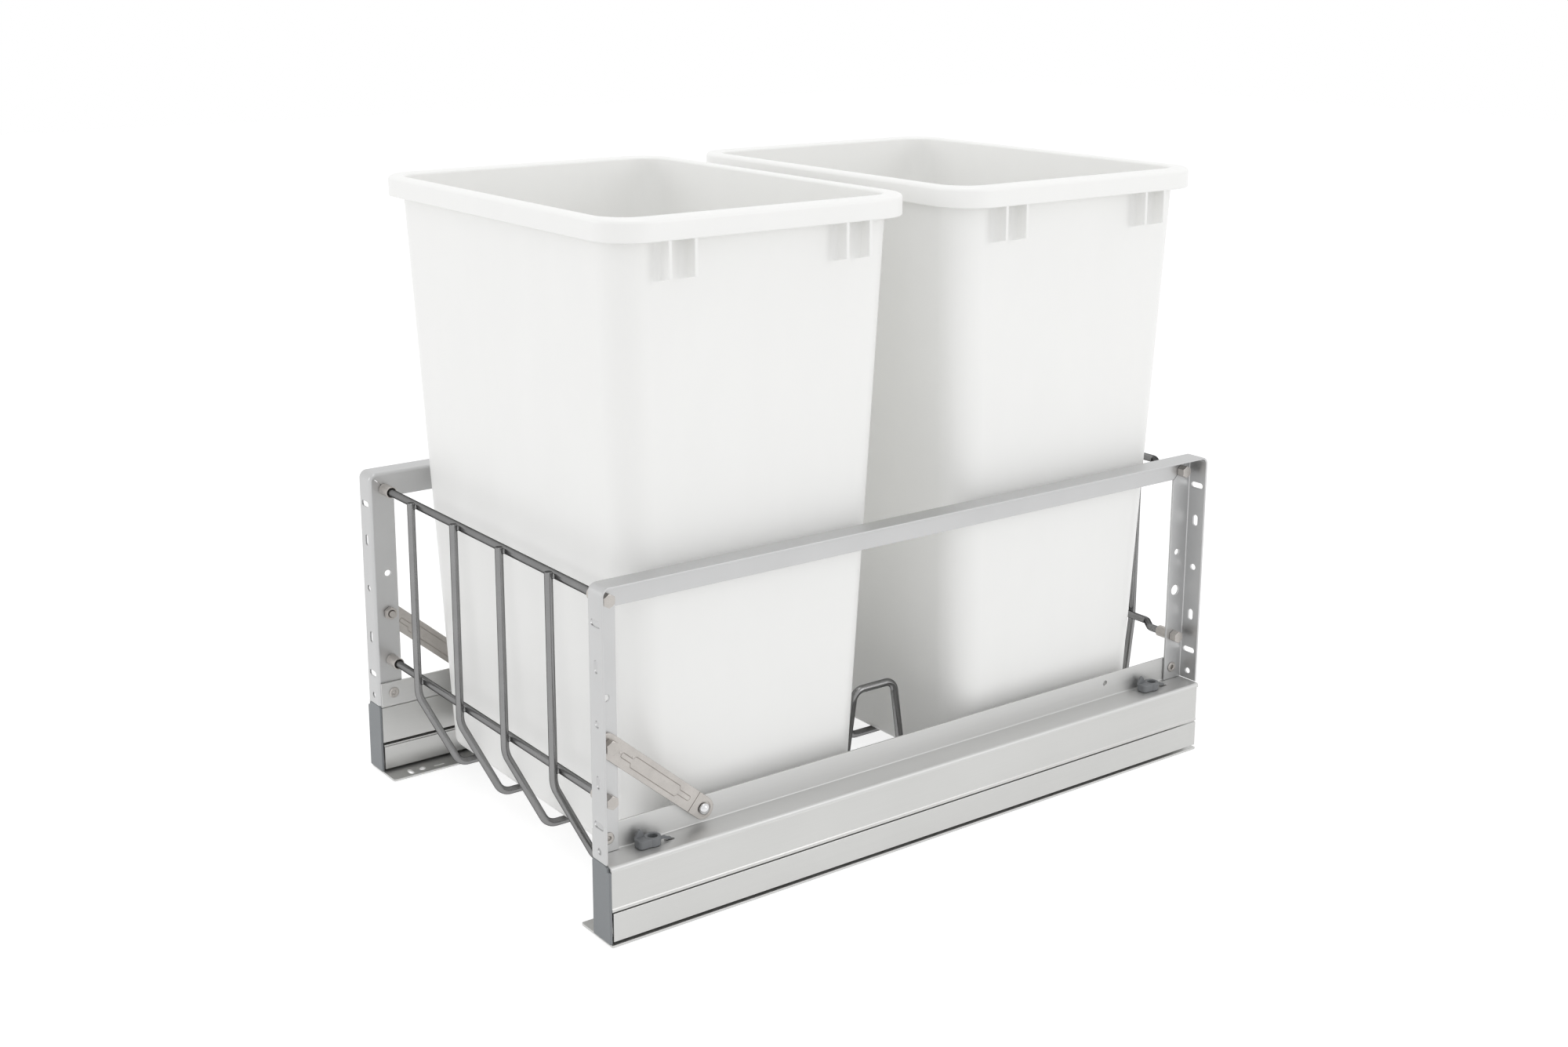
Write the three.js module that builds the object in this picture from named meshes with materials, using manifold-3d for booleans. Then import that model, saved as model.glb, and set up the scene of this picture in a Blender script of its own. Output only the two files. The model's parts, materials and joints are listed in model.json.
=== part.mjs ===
// Bottom-mounted double pull-out waste unit: two tall bins in a welded wire cradle, hung between
// two aluminium side frames that ride on full-extension ball slides.
// Millimetres. +X is the user's right, -Y is the front (the way it pulls out), +Z is up.
import * as THREE from "three";
import { mergeVertices } from "three/addons/utils/BufferGeometryUtils.js";
import Module from "manifold-3d";

// ---- driving dimensions -------------------------------------------------------------------
const FRAME_HALF = 280; // front face and rear face of the side frames
const FRAME_TOP = 245; // height of the side frames
const WEB_X = 160; // inner face of the frame webs, from the middle plane
const SHEET = 1.6; // aluminium sheet of frames and base rails
const GAP = 0.3; // air between separate pieces that touch
const FLANGE = 18; // width of the frames' rim flange
const POST_WEB = 20; // depth of a post's web
const RAIL_WEB = 19.4; // height of the top rail's web
const FRAME_CORNER = 6; // outer bend radius at the two upper corners

const SHELF_Z = 57; // top face of the base rail's shelf
const UPSTAND_TOP = 76; // top edge of the base rail's upstand
const LIP_DROP = 3.4; // height of the lip along the base rail's outer edge
const SHELF_OUT = 182; // outer face of that lip

const SLIDE_IN = 159.9; // inner face of the slide's side skins
const SLIDE_OUT = 181.3; // outer face of the slide's side skins
const SLIDE_WALL = 1.2; // steel of the slide members
const SLIDE_SPLIT = 24.3; // height of the parting line between the middle and the top member
const SLIDE_HALF = 278; // rear end of every member, and front end of the top member
const FOOT_IN = 142; // inner edge of the foot plate
const FOOT_OUT = 181.8; // outer edge of the foot plate
const FOOT_THICK = 1.8;
const FOOT_HALF = 278.6;

const HARDWARE_Y = 268; // bolts and rivets sit this far from the middle of the frames
const TOP_BAR_Z = 232;
const LOW_BAR_Z = 94;
const BRACE_BOLT_Z = 132.5;
const BRACE_RIVET_Y = 194;
const BRACE_RIVET_Z = 69;
const POST_RIVET_Z = 67;
const UPSTAND_OUT = WEB_X - GAP; // outer face of the base rail's upstand, inside the post webs
const BRACE_IN = WEB_X + SHEET + GAP; // inner face of the brace, outside the post's web
const BRACE_THICK = 2.2;
const BRACE_OUT = BRACE_IN + BRACE_THICK;

const WIRE_R = 2.9; // radius of the cradle's wires and bars
const WIRE_X = [-101.5, -33.8, 33.8, 101.5]; // the four long wires
const FLOOR_Z = 21; // centre line of the wires under the bins
const BASKET_MID = 5; // middle plane of the two bins and of the hoops between them
const REAR_BAR_Y = 278; // the rear bars' middle stretch, behind their ends

const BIN_OFFSET = 142.8; // centre of each bin, from BASKET_MID
const BIN_BOTTOM = 24.4;
const BIN_TOP = 473;
const BIN_RIM = 15; // height of the rim band
const BIN_WALL = 2.2;
const BIN_RIM_HALF = [168, 123.3]; // half width and half depth at the rim band
const BIN_TOP_HALF = [155.6, 115.6]; // the body just under the rim
const BIN_BOTTOM_HALF = [143, 94.6]; // the body at its foot

// Fineness of the round shapes, and how far a cutting tool runs past the surface it cuts.
const ARC_STEPS = 6;
const SLOT_STEPS = 3;
const BEND_STEPS = 3;
const WIRE_SIDES = 8;
const ROUND_SIDES = 12;
const PAST = 1;

const wasm = await Module();
wasm.setup();

// ---- shape helpers ------------------------------------------------------------------------
const v3 = (x, y, z) => new THREE.Vector3(x, y, z);
const X_AXIS = v3(1, 0, 0);
const Z_AXIS = v3(0, 0, 1);

// A closed three.js geometry as a solid for cutting and joining.
function solid(geometry) {
  const bare = geometry.index ? geometry.toNonIndexed() : geometry.clone();
  bare.deleteAttribute("normal");
  bare.deleteAttribute("uv");
  const merged = mergeVertices(bare, 1e-3);
  const made = new wasm.Manifold(
    new wasm.Mesh({
      numProp: 3,
      vertProperties: merged.attributes.position.array,
      triVerts: new Uint32Array(merged.index.array),
    }),
  );
  if (made.volume() < 0) throw new Error("a shape is inside out");
  return made;
}

function geometryOf(made) {
  const mesh = made.getMesh();
  const geometry = new THREE.BufferGeometry();
  geometry.setAttribute("position", new THREE.BufferAttribute(mesh.vertProperties, 3));
  geometry.setIndex(new THREE.BufferAttribute(mesh.triVerts, 1));
  geometry.computeVertexNormals();
  return geometry;
}

const joined = (first, ...others) => others.reduce((sum, next) => sum.add(next), first);
const cut = (first, ...tools) => tools.reduce((rest, tool) => rest.subtract(tool), first);

function outline(points) {
  return new THREE.Shape(points.map(([a, b]) => new THREE.Vector2(a, b)));
}

function prism(shape, length, basis) {
  const geometry = new THREE.ExtrudeGeometry(shape, {
    depth: length,
    bevelEnabled: false,
    curveSegments: ARC_STEPS,
  });
  return solid(geometry.applyMatrix4(basis));
}

// An outline drawn in Y and Z, run along X from x0 to x1.
function alongX(shape, x0, x1) {
  const basis = new THREE.Matrix4().makeBasis(v3(0, 1, 0), v3(0, 0, 1), v3(1, 0, 0));
  return prism(shape, x1 - x0, basis.setPosition(x0, 0, 0));
}

// An outline drawn in X and Z, run along Y from y0 to y1.
function alongY(shape, y0, y1) {
  const basis = new THREE.Matrix4().makeBasis(v3(1, 0, 0), v3(0, 0, 1), v3(0, -1, 0));
  return prism(shape, y1 - y0, basis.setPosition(0, y1, 0));
}

// An outline drawn in X and Y, run up Z from z0 to z1.
function alongZ(shape, z0, z1) {
  return prism(shape, z1 - z0, new THREE.Matrix4().makeTranslation(0, 0, z0));
}

// A round pin from one point to another, for pins and for drilling.
function pin(from, to, radius, sides = ROUND_SIDES) {
  const length = from.distanceTo(to);
  const geometry = new THREE.CylinderGeometry(radius, radius, length, sides);
  const turn = new THREE.Quaternion().setFromUnitVectors(
    v3(0, 1, 0),
    to.clone().sub(from).normalize(),
  );
  const middle = from.clone().add(to).multiplyScalar(0.5);
  return solid(geometry.applyQuaternion(turn).translate(middle.x, middle.y, middle.z));
}

// A round-ended slot as an outline, long way along the first axis of the drawing.
function slotOutline(a, b, length, width) {
  const shape = new THREE.Shape();
  const straight = (length - width) / 2;
  shape.absarc(a + straight, b, width / 2, -Math.PI / 2, Math.PI / 2, false);
  shape.absarc(a - straight, b, width / 2, Math.PI / 2, (3 * Math.PI) / 2, false);
  shape.closePath();
  return shape;
}

// A turned piece about an axis along X: each profile point is [x, radius]; the profile closes.
function turnedX(profile, y, z) {
  const points = [...profile, profile[0]].map(([x, r]) => new THREE.Vector2(r, x));
  const geometry = new THREE.LatheGeometry(points, ROUND_SIDES);
  geometry.rotateZ(-Math.PI / 2).translate(0, y, z);
  return solid(geometry);
}

// A hexagonal head on an axis along X, flats across, from x0 to x1.
function hexX(x0, x1, y, z, flats) {
  const corner = flats / Math.sqrt(3);
  const points = [];
  for (let k = 0; k < 6; k++) {
    const turn = ((k + 0.5) * Math.PI) / 3;
    points.push([y + corner * Math.cos(turn), z + corner * Math.sin(turn)]);
  }
  return alongX(outline(points), x0, x1);
}

// Stations of a bent wire: a polyline whose inner corners are rounded, each to its own radius.
function bentRoute(corners, bends, steps) {
  const stations = [];
  corners.forEach((corner, i) => {
    if (i === 0 || i === corners.length - 1) {
      const other = i === 0 ? corners[1] : corners[i - 1];
      const along = i === 0 ? other.clone().sub(corner) : corner.clone().sub(other);
      stations.push({ at: corner, along: along.normalize() });
      return;
    }
    const before = corner.clone().sub(corners[i - 1]).normalize();
    const after = corners[i + 1].clone().sub(corner).normalize();
    const angle = before.angleTo(after);
    const radius = bends[i - 1];
    const run = radius * Math.tan(angle / 2);
    const start = corner.clone().addScaledVector(before, -run);
    const inward = after.clone().addScaledVector(before, -before.dot(after)).normalize();
    for (let k = 0; k <= steps; k++) {
      const turn = (angle * k) / steps;
      const at = start
        .clone()
        .addScaledVector(before, radius * Math.sin(turn))
        .addScaledVector(inward, radius * (1 - Math.cos(turn)));
      const along = before
        .clone()
        .multiplyScalar(Math.cos(turn))
        .addScaledVector(inward, Math.sin(turn));
      stations.push({ at, along });
    }
  });
  return stations;
}

// A surface closed over a list of rings with equal point counts, with a flat end on the first
// ring and on the last one.
function ringSolid(rings) {
  const count = rings[0].length;
  const points = rings.flat();
  const faces = [];
  for (let r = 0; r + 1 < rings.length; r++) {
    for (let k = 0; k < count; k++) {
      const a = r * count + k;
      const b = r * count + ((k + 1) % count);
      faces.push(a, b, b + count, a, b + count, a + count);
    }
  }
  [0, rings.length - 1].forEach((r) => {
    const hub = points.length;
    const middle = rings[r].reduce((sum, p) => sum.add(p), v3(0, 0, 0)).divideScalar(count);
    points.push(middle);
    for (let k = 0; k < count; k++) {
      const a = r * count + k;
      const b = r * count + ((k + 1) % count);
      faces.push(...(r === 0 ? [hub, b, a] : [hub, a, b]));
    }
  });
  const geometry = new THREE.BufferGeometry().setFromPoints(points);
  geometry.setIndex(faces);
  return solid(geometry);
}

// A round wire along a route that lies in one plane, with a bend radius for each inner corner.
function wire(corners, planeNormal, bends) {
  const rings = bentRoute(corners, bends, BEND_STEPS).map(({ at, along }) => {
    const across = along.clone().cross(planeNormal);
    const ring = [];
    for (let k = 0; k < WIRE_SIDES; k++) {
      const turn = (2 * Math.PI * k) / WIRE_SIDES;
      ring.push(
        at
          .clone()
          .addScaledVector(planeNormal, WIRE_R * Math.cos(turn))
          .addScaledVector(across, WIRE_R * Math.sin(turn)),
      );
    }
    return ring;
  });
  return ringSolid(rings);
}

// ---- finishes -----------------------------------------------------------------------------
const finish = (color, roughness, metalness) =>
  new THREE.MeshStandardMaterial({ color, roughness, metalness });
const ALUMINIUM = finish(0xc9cbcc, 0.42, 0.85);
const SLIDE_STEEL = finish(0xd2d1cc, 0.38, 0.8);
const NICKEL = finish(0xb9b1a6, 0.35, 0.9);
const DARK_WIRE = finish(0x7c7b79, 0.36, 0.75);
const CAP_PLASTIC = finish(0x8a8e91, 0.6, 0);
const LEVER_PLASTIC = finish(0x75787b, 0.6, 0);
const BIN_PLASTIC = finish(0xeeede9, 0.5, 0);
const BALL_STEEL = finish(0xb4b6b8, 0.25, 1);

const part = new THREE.Group();
function addMesh(group, name, made, material) {
  const mesh = new THREE.Mesh(geometryOf(made), material);
  mesh.name = name;
  group.add(mesh);
}

// ---- side frame: flanged strip bent to an upside-down U --------------------------------------
// Holes in the flanges of both posts, top to bottom: [height, long way or round, length].
const FLANGE_HOLE_X = 169.6;
const FLANGE_HOLE_WIDTH = 4.5;
const FLANGE_HOLES = [
  [220, "across", 11.5],
  [191, "upright", 9],
  [152, "round", 5],
  [112, "upright", 9],
  [82, "across", 11.5],
  [64, "round", 4.6],
];
const ROUND_HOLE_Z = 164.5;
const ROUND_HOLE_R = 2.5;
const BRACE_HOLE_R = 4.2;
const BAR_BOLT_R = 2.5; // shank of the bar bolts
const BOLT_HOLE_R = 2.8;
const POST_FOOT = SHELF_Z + GAP;

// The bent strip's outline in Y and Z, set in by a distance on its three sides.
function archOutline(inset) {
  const side = FRAME_HALF - inset;
  const top = FRAME_TOP - inset;
  const radius = FRAME_CORNER - inset;
  const shape = new THREE.Shape();
  shape.moveTo(side, POST_FOOT);
  shape.lineTo(side, top - radius);
  shape.absarc(side - radius, top - radius, radius, 0, Math.PI / 2, false);
  shape.absarc(-side + radius, top - radius, radius, Math.PI / 2, Math.PI, false);
  shape.lineTo(-side, POST_FOOT);
  shape.closePath();
  return shape;
}

// A flange hole: drilled along Y through the post at the given end (-1 front, +1 rear).
function flangeHole([z, kind, length], end) {
  const x = FLANGE_HOLE_X;
  const y0 = end * FRAME_HALF - SHEET - PAST;
  const y1 = end * FRAME_HALF + SHEET + PAST;
  if (kind === "round") return pin(v3(x, y0, z), v3(x, y1, z), length / 2);
  const shape = slotOutline(0, 0, length, FLANGE_HOLE_WIDTH);
  const turn = kind === "upright" ? Math.PI / 2 : 0;
  const placed = shape.getPoints(SLOT_STEPS).map((p) => {
    const q = p.rotateAround(new THREE.Vector2(0, 0), turn);
    return [x + q.x, z + q.y];
  });
  return alongY(outline(placed), y0, y1);
}

// A hole along X through a post's web, the upstand behind it and the brace in front of it.
function webHole(y, z, radius) {
  const from = UPSTAND_OUT - SHEET - PAST;
  const to = BRACE_OUT + PAST;
  return pin(v3(from, y, z), v3(to, y, z), radius);
}

function sideFrame() {
  const rim = cut(
    alongX(archOutline(0), WEB_X, WEB_X + FLANGE),
    alongX(lowered(archOutline(SHEET)), WEB_X - PAST, WEB_X + FLANGE + PAST),
  );
  const opening = outline([
    [-FRAME_HALF + POST_WEB, POST_FOOT - PAST],
    [FRAME_HALF - POST_WEB, POST_FOOT - PAST],
    [FRAME_HALF - POST_WEB, FRAME_TOP - RAIL_WEB],
    [-FRAME_HALF + POST_WEB, FRAME_TOP - RAIL_WEB],
  ]);
  const web = cut(
    alongX(archOutline(SHEET / 2), WEB_X, WEB_X + SHEET),
    alongX(opening, WEB_X - PAST, WEB_X + SHEET + PAST),
  );
  const holes = [];
  [-1, 1].forEach((end) => {
    FLANGE_HOLES.forEach((hole) => holes.push(flangeHole(hole, end)));
    const y = end * HARDWARE_Y;
    holes.push(webHole(y, TOP_BAR_Z, BOLT_HOLE_R));
    holes.push(webHole(y, LOW_BAR_Z, BOLT_HOLE_R));
    holes.push(webHole(y, ROUND_HOLE_Z, ROUND_HOLE_R));
    holes.push(webHole(y, BRACE_BOLT_Z, BRACE_HOLE_R));
    holes.push(webHole(y, POST_RIVET_Z, BOLT_HOLE_R));
  });
  return cut(joined(rim, web), ...holes);
}

// The same outline carried a little further down, so that a cut made with it leaves no skin.
function lowered(shape) {
  const points = shape.getPoints(ARC_STEPS);
  return outline(points.map((p) => [p.x, p.y <= POST_FOOT ? p.y - PAST : p.y]));
}

// ---- base rail: upstand, shelf and lip in one folded strip ------------------------------------
const RAIL_HALF = FRAME_HALF - SHEET;
const LIP_ROUND = 2;
const LEVER_X = 168; // pivots of the release levers, from the middle plane
const LEVER_Y = 238; // and from the middle of the frames
const SPIGOT_R = 4.6;
const TAIL_SLOT = { from: 9.5, length: 7.5, width: 4 }; // behind the pivot

function baseRail() {
  const under = SHELF_Z - SHEET;
  const section = new THREE.Shape();
  section.moveTo(UPSTAND_OUT - SHEET, UPSTAND_TOP);
  section.lineTo(UPSTAND_OUT - SHEET, under);
  section.lineTo(SHELF_OUT - SHEET, under);
  section.lineTo(SHELF_OUT - SHEET, SHELF_Z - LIP_DROP);
  section.lineTo(SHELF_OUT, SHELF_Z - LIP_DROP);
  section.lineTo(SHELF_OUT, SHELF_Z - LIP_ROUND);
  section.absarc(SHELF_OUT - LIP_ROUND, SHELF_Z - LIP_ROUND, LIP_ROUND, 0, Math.PI / 2, false);
  section.lineTo(UPSTAND_OUT, SHELF_Z);
  section.lineTo(UPSTAND_OUT, UPSTAND_TOP);
  section.closePath();
  const holes = [];
  [-1, 1].forEach((end) => {
    const y = end * LEVER_Y;
    const below = under - PAST;
    const above = SHELF_Z + PAST;
    holes.push(pin(v3(LEVER_X, y, below), v3(LEVER_X, y, above), SPIGOT_R + GAP));
    const slotY = y + TAIL_SLOT.from + TAIL_SLOT.length / 2;
    const half = TAIL_SLOT.width / 2;
    const slot = outline([
      [LEVER_X - half, slotY - TAIL_SLOT.length / 2],
      [LEVER_X + half, slotY - TAIL_SLOT.length / 2],
      [LEVER_X + half, slotY + TAIL_SLOT.length / 2],
      [LEVER_X - half, slotY + TAIL_SLOT.length / 2],
    ]);
    holes.push(alongZ(slot, below, above));
    holes.push(webHole(end * BRACE_RIVET_Y, BRACE_RIVET_Z, BOLT_HOLE_R));
    holes.push(webHole(end * HARDWARE_Y, POST_RIVET_Z, BOLT_HOLE_R));
  });
  return cut(alongY(section, -RAIL_HALF, RAIL_HALF), ...holes);
}

// ---- slide: foot rail, middle member and top member, one over the other -----------------------
const RUNNER_X = (SLIDE_IN + SLIDE_OUT) / 2; // middle plane of the uprights that the balls run on
const RUNNER_HALF = 1.2; // half thickness of an upright
const HEAD_HALF = 3; // half width of an upright's head
const HEAD_THICK = 2;
const LOW_HEAD_TOP = 20; // top of the foot rail's upright
const HIGH_HEAD_TOP = 42; // top of the middle member's upright
const MEMBER_GAP = 0.5; // half of the parting line's height
const PANEL_BOTTOM = 3.8;
const TOP_WEB = SHELF_Z - SHEET - GAP; // top face of the top member, under the shelf
const SHOULDER_Z = SHELF_Z - LIP_DROP - GAP;

// An upright with a flat head, drawn in X and Z from a base height.
function runnerOutline(base, top) {
  const x = RUNNER_X;
  return outline([
    [x - RUNNER_HALF, base],
    [x + RUNNER_HALF, base],
    [x + RUNNER_HALF, top - HEAD_THICK],
    [x + HEAD_HALF, top - HEAD_THICK],
    [x + HEAD_HALF, top],
    [x - HEAD_HALF, top],
    [x - HEAD_HALF, top - HEAD_THICK],
    [x - RUNNER_HALF, top - HEAD_THICK],
  ]);
}

// Fixing holes in the foot plate's inner margin, the same near both ends.
const FOOT_HOLES = [
  { kind: "across", x: 149, y: 261, length: 8.7, width: 3.6 },
  { kind: "round", x: 149.3, y: 250.8, length: 5, width: 5 },
  { kind: "along", x: 148, y: 236.5, length: 9, width: 2 },
];
const FOOT_RUNNER_FRONT = -SLIDE_HALF + 2;

function footRail() {
  const plate = outline([
    [FOOT_IN, -FOOT_HALF],
    [FOOT_OUT, -FOOT_HALF],
    [FOOT_OUT, FOOT_HALF],
    [FOOT_IN, FOOT_HALF],
  ]);
  const profile = runnerOutline(FOOT_THICK / 2, LOW_HEAD_TOP);
  const runner = alongY(profile, FOOT_RUNNER_FRONT, SLIDE_HALF);
  const above = FOOT_THICK + PAST;
  const holes = [];
  [-1, 1].forEach((end) => {
    FOOT_HOLES.forEach(({ kind, x, y: fromMiddle, length, width }) => {
      const y = end * fromMiddle;
      if (kind === "round") {
        holes.push(pin(v3(x, y, -PAST), v3(x, y, above), width / 2));
        return;
      }
      const points = slotOutline(0, 0, length, width).getPoints(SLOT_STEPS);
      const placed = points.map((p) => (kind === "across" ? [x + p.x, y + p.y] : [x - p.y, y + p.x]));
      holes.push(alongZ(outline(placed), -PAST, above));
    });
  });
  return cut(joined(alongZ(plate, 0, FOOT_THICK), runner), ...holes);
}

const MIDDLE_FRONT = -SLIDE_HALF + 0.9; // set back behind the end cap

function middleMember() {
  const top = SLIDE_SPLIT - MEMBER_GAP;
  const skin = outline([
    [SLIDE_IN, PANEL_BOTTOM],
    [SLIDE_IN + SLIDE_WALL, PANEL_BOTTOM],
    [SLIDE_IN + SLIDE_WALL, top - SLIDE_WALL],
    [SLIDE_OUT - SLIDE_WALL, top - SLIDE_WALL],
    [SLIDE_OUT - SLIDE_WALL, PANEL_BOTTOM],
    [SLIDE_OUT, PANEL_BOTTOM],
    [SLIDE_OUT, top],
    [SLIDE_IN, top],
  ]);
  const runner = runnerOutline(top - SLIDE_WALL / 2, HIGH_HEAD_TOP);
  return joined(
    alongY(skin, MIDDLE_FRONT, SLIDE_HALF),
    alongY(runner, MIDDLE_FRONT, SLIDE_HALF),
  );
}

function topMember() {
  const bottom = SLIDE_SPLIT + MEMBER_GAP;
  const shoulder = SHELF_OUT - SHEET - GAP; // clears the inside of the lip
  const skin = outline([
    [SLIDE_IN, bottom],
    [SLIDE_IN + SLIDE_WALL, bottom],
    [SLIDE_IN + SLIDE_WALL, TOP_WEB - SLIDE_WALL],
    [shoulder - SLIDE_WALL, TOP_WEB - SLIDE_WALL],
    [shoulder - SLIDE_WALL, SHOULDER_Z - SLIDE_WALL],
    [SLIDE_OUT - SLIDE_WALL, SHOULDER_Z - SLIDE_WALL],
    [SLIDE_OUT - SLIDE_WALL, bottom],
    [SLIDE_OUT, bottom],
    [SLIDE_OUT, SHOULDER_Z],
    [shoulder, SHOULDER_Z],
    [shoulder, TOP_WEB],
    [SLIDE_IN, TOP_WEB],
  ]);
  const holes = [-1, 1].map((end) =>
    pin(
      v3(LEVER_X, end * LEVER_Y, TOP_WEB - SLIDE_WALL - PAST),
      v3(LEVER_X, end * LEVER_Y, TOP_WEB + PAST),
      SPIGOT_R + GAP,
    ),
  );
  return cut(alongY(skin, -SLIDE_HALF, SLIDE_HALF), ...holes);
}

// A folded strip over an upright with a row of balls in each side.
const BALL_R = 3.7;
const BALL_OFFSET = 5.3; // of the balls' centres from the upright's middle plane
const CAGE_HALF = 120;
const CAGE_SHEET = 0.8;
const BALL_SIDES = 8;
const BALLS_ALONG = [-100, 0, 100];
const LOWER_CAGE = { bottom: 5, balls: 11, top: 21.4 }; // heights, over the foot rail's upright
const UPPER_CAGE = { bottom: 28, balls: 34, top: 43.6 }; // over the middle member's upright

function ballCage({ bottom, balls: ballZ, top }) {
  const outer = BALL_OFFSET + CAGE_SHEET / 2;
  const inner = BALL_OFFSET - CAGE_SHEET / 2;
  const x = RUNNER_X;
  const strip = alongY(
    outline([
      [x - outer, bottom],
      [x - inner, bottom],
      [x - inner, top - CAGE_SHEET],
      [x + inner, top - CAGE_SHEET],
      [x + inner, bottom],
      [x + outer, bottom],
      [x + outer, top],
      [x - outer, top],
    ]),
    -CAGE_HALF,
    CAGE_HALF,
  );
  const balls = [];
  BALLS_ALONG.forEach((y) => {
    [-1, 1].forEach((side) => {
      const ball = new THREE.SphereGeometry(BALL_R, BALL_SIDES, BALL_SIDES / 2);
      balls.push(solid(ball.translate(x + side * BALL_OFFSET, y, ballZ)));
    });
  });
  return joined(strip, ...balls);
}

// ---- soft-close damper: a sealed cylinder under the top member's roof, its rod to the rear ------
const DAMPER_R = 4.2;
const DAMPER_Z = 48.6;
const DAMPER_FROM = 70;
const DAMPER_LENGTH = 80;
const ROD_R = 1.5;
const ROD_OUT = 45;
const ROD_END_R = 3.2;
const ROD_END_LENGTH = 3;

function damper() {
  const mouth = DAMPER_FROM + DAMPER_LENGTH;
  const tip = mouth + ROD_OUT;
  const at = (y) => v3(RUNNER_X, y, DAMPER_Z);
  return joined(
    pin(at(DAMPER_FROM), at(mouth), DAMPER_R),
    pin(at(mouth - PAST), at(tip), ROD_R),
    pin(at(tip - ROD_END_LENGTH), at(tip), ROD_END_R),
  );
}

// ---- end cap: thin face with a plug that fills the top member's mouth ----------------------------
const CAP_THICK = 1.4;
const CAP_BOTTOM = FOOT_THICK + 0.4;
const CAP_TOP = SHELF_Z - 0.2;
const CAP_STEP = { x: 178.6, depth: 3, rise: 1.6 }; // the notch at its upper outer corner
const PLUG_BOTTOM = HIGH_HEAD_TOP + 2.5;
const PLUG_LENGTH = 12;

function endCap() {
  const shoulder = SHOULDER_Z - 0.4;
  const stepIn = CAP_STEP.x - CAP_STEP.depth;
  const face = outline([
    [SLIDE_IN, CAP_BOTTOM],
    [SLIDE_OUT, CAP_BOTTOM],
    [SLIDE_OUT, shoulder],
    [CAP_STEP.x, shoulder],
    [CAP_STEP.x, CAP_TOP - CAP_STEP.rise],
    [stepIn, CAP_TOP - CAP_STEP.rise],
    [stepIn, CAP_TOP],
    [SLIDE_IN, CAP_TOP],
  ]);
  const inner = SLIDE_IN + SLIDE_WALL + GAP;
  const outer = SHELF_OUT - SHEET - GAP - SLIDE_WALL - GAP;
  const plugTop = TOP_WEB - SLIDE_WALL - GAP;
  const plug = outline([
    [inner, PLUG_BOTTOM],
    [outer, PLUG_BOTTOM],
    [outer, plugTop],
    [inner, plugTop],
  ]);
  const back = -FRAME_HALF + CAP_THICK;
  return joined(
    alongY(face, -FRAME_HALF, back),
    alongY(plug, back - CAP_THICK / 2, -SLIDE_HALF + PLUG_LENGTH),
  );
}

// ---- release lever: boss on a hollow spigot, front lobe with a thumb fin, spring tail -------------
const BOSS_R = 5.8;
const BOSS_TOP = 63.4;
const BORE_R = 3.4;
const SPIGOT_BOTTOM = TOP_WEB - 2.6;
const LOBE = { half: 4.8, length: 12.4, corner: 2.6, top: BOSS_TOP - 0.4 };
const FIN_THICK = 2.4;
const FIN = [
  [12.2, -1.2],
  [4, -1.2],
  [6.4, 3.8],
  [7.6, 4.8],
  [8.9, 4.2],
]; // [distance in front of the pivot, height over the boss]
const TAIL_HALF = 1.2; // half width
const TAIL = [
  [4.8, 2.2],
  [10, 1.8],
  [12.8, 0.4],
  [14.2, 0.4],
  [13.6, 1.9],
  [10.6, 3.6],
  [4.8, 3.8],
]; // [distance behind the pivot, height over the shelf]

function releaseLever(y) {
  const x = LEVER_X;
  const floor = SHELF_Z + GAP;
  const { half, length, corner } = LOBE;
  const front = y - length;
  const lobe = new THREE.Shape();
  lobe.moveTo(x + half, y);
  lobe.lineTo(x - half, y);
  lobe.lineTo(x - half, front + corner);
  lobe.absarc(x - half + corner, front + corner, corner, Math.PI, 1.5 * Math.PI, false);
  lobe.lineTo(x + half - corner, front);
  lobe.absarc(x + half - corner, front + corner, corner, -Math.PI / 2, 0, false);
  lobe.closePath();
  const fin = outline(FIN.map(([before, over]) => [y - before, BOSS_TOP + over]));
  const tail = outline(TAIL.map(([behind, over]) => [y + behind, floor + over]));
  const whole = joined(
    pin(v3(x, y, floor), v3(x, y, BOSS_TOP), BOSS_R),
    pin(v3(x, y, SPIGOT_BOTTOM), v3(x, y, floor + PAST), SPIGOT_R),
    alongZ(lobe, floor, LOBE.top),
    alongX(fin, x - half, x - half + FIN_THICK),
    alongX(tail, x - TAIL_HALF, x + TAIL_HALF),
  );
  return cut(whole, pin(v3(x, y, SPIGOT_BOTTOM - PAST), v3(x, y, BOSS_TOP + PAST), BORE_R));
}

// ---- front brace: flat link from the post down to the upstand --------------------------------------
const BRACE_HALF_WIDTH = 8;
const BRACE_TAIL = 1.5; // how far the plate runs on past the bolt before it rounds off
const BRACE_HEX = { flats: 10, height: 3.2 };
const BRACE_NUT_HEIGHT = 4;
const BOLT_END = 1.4; // how far the brace bolt stands out behind its nut

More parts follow.
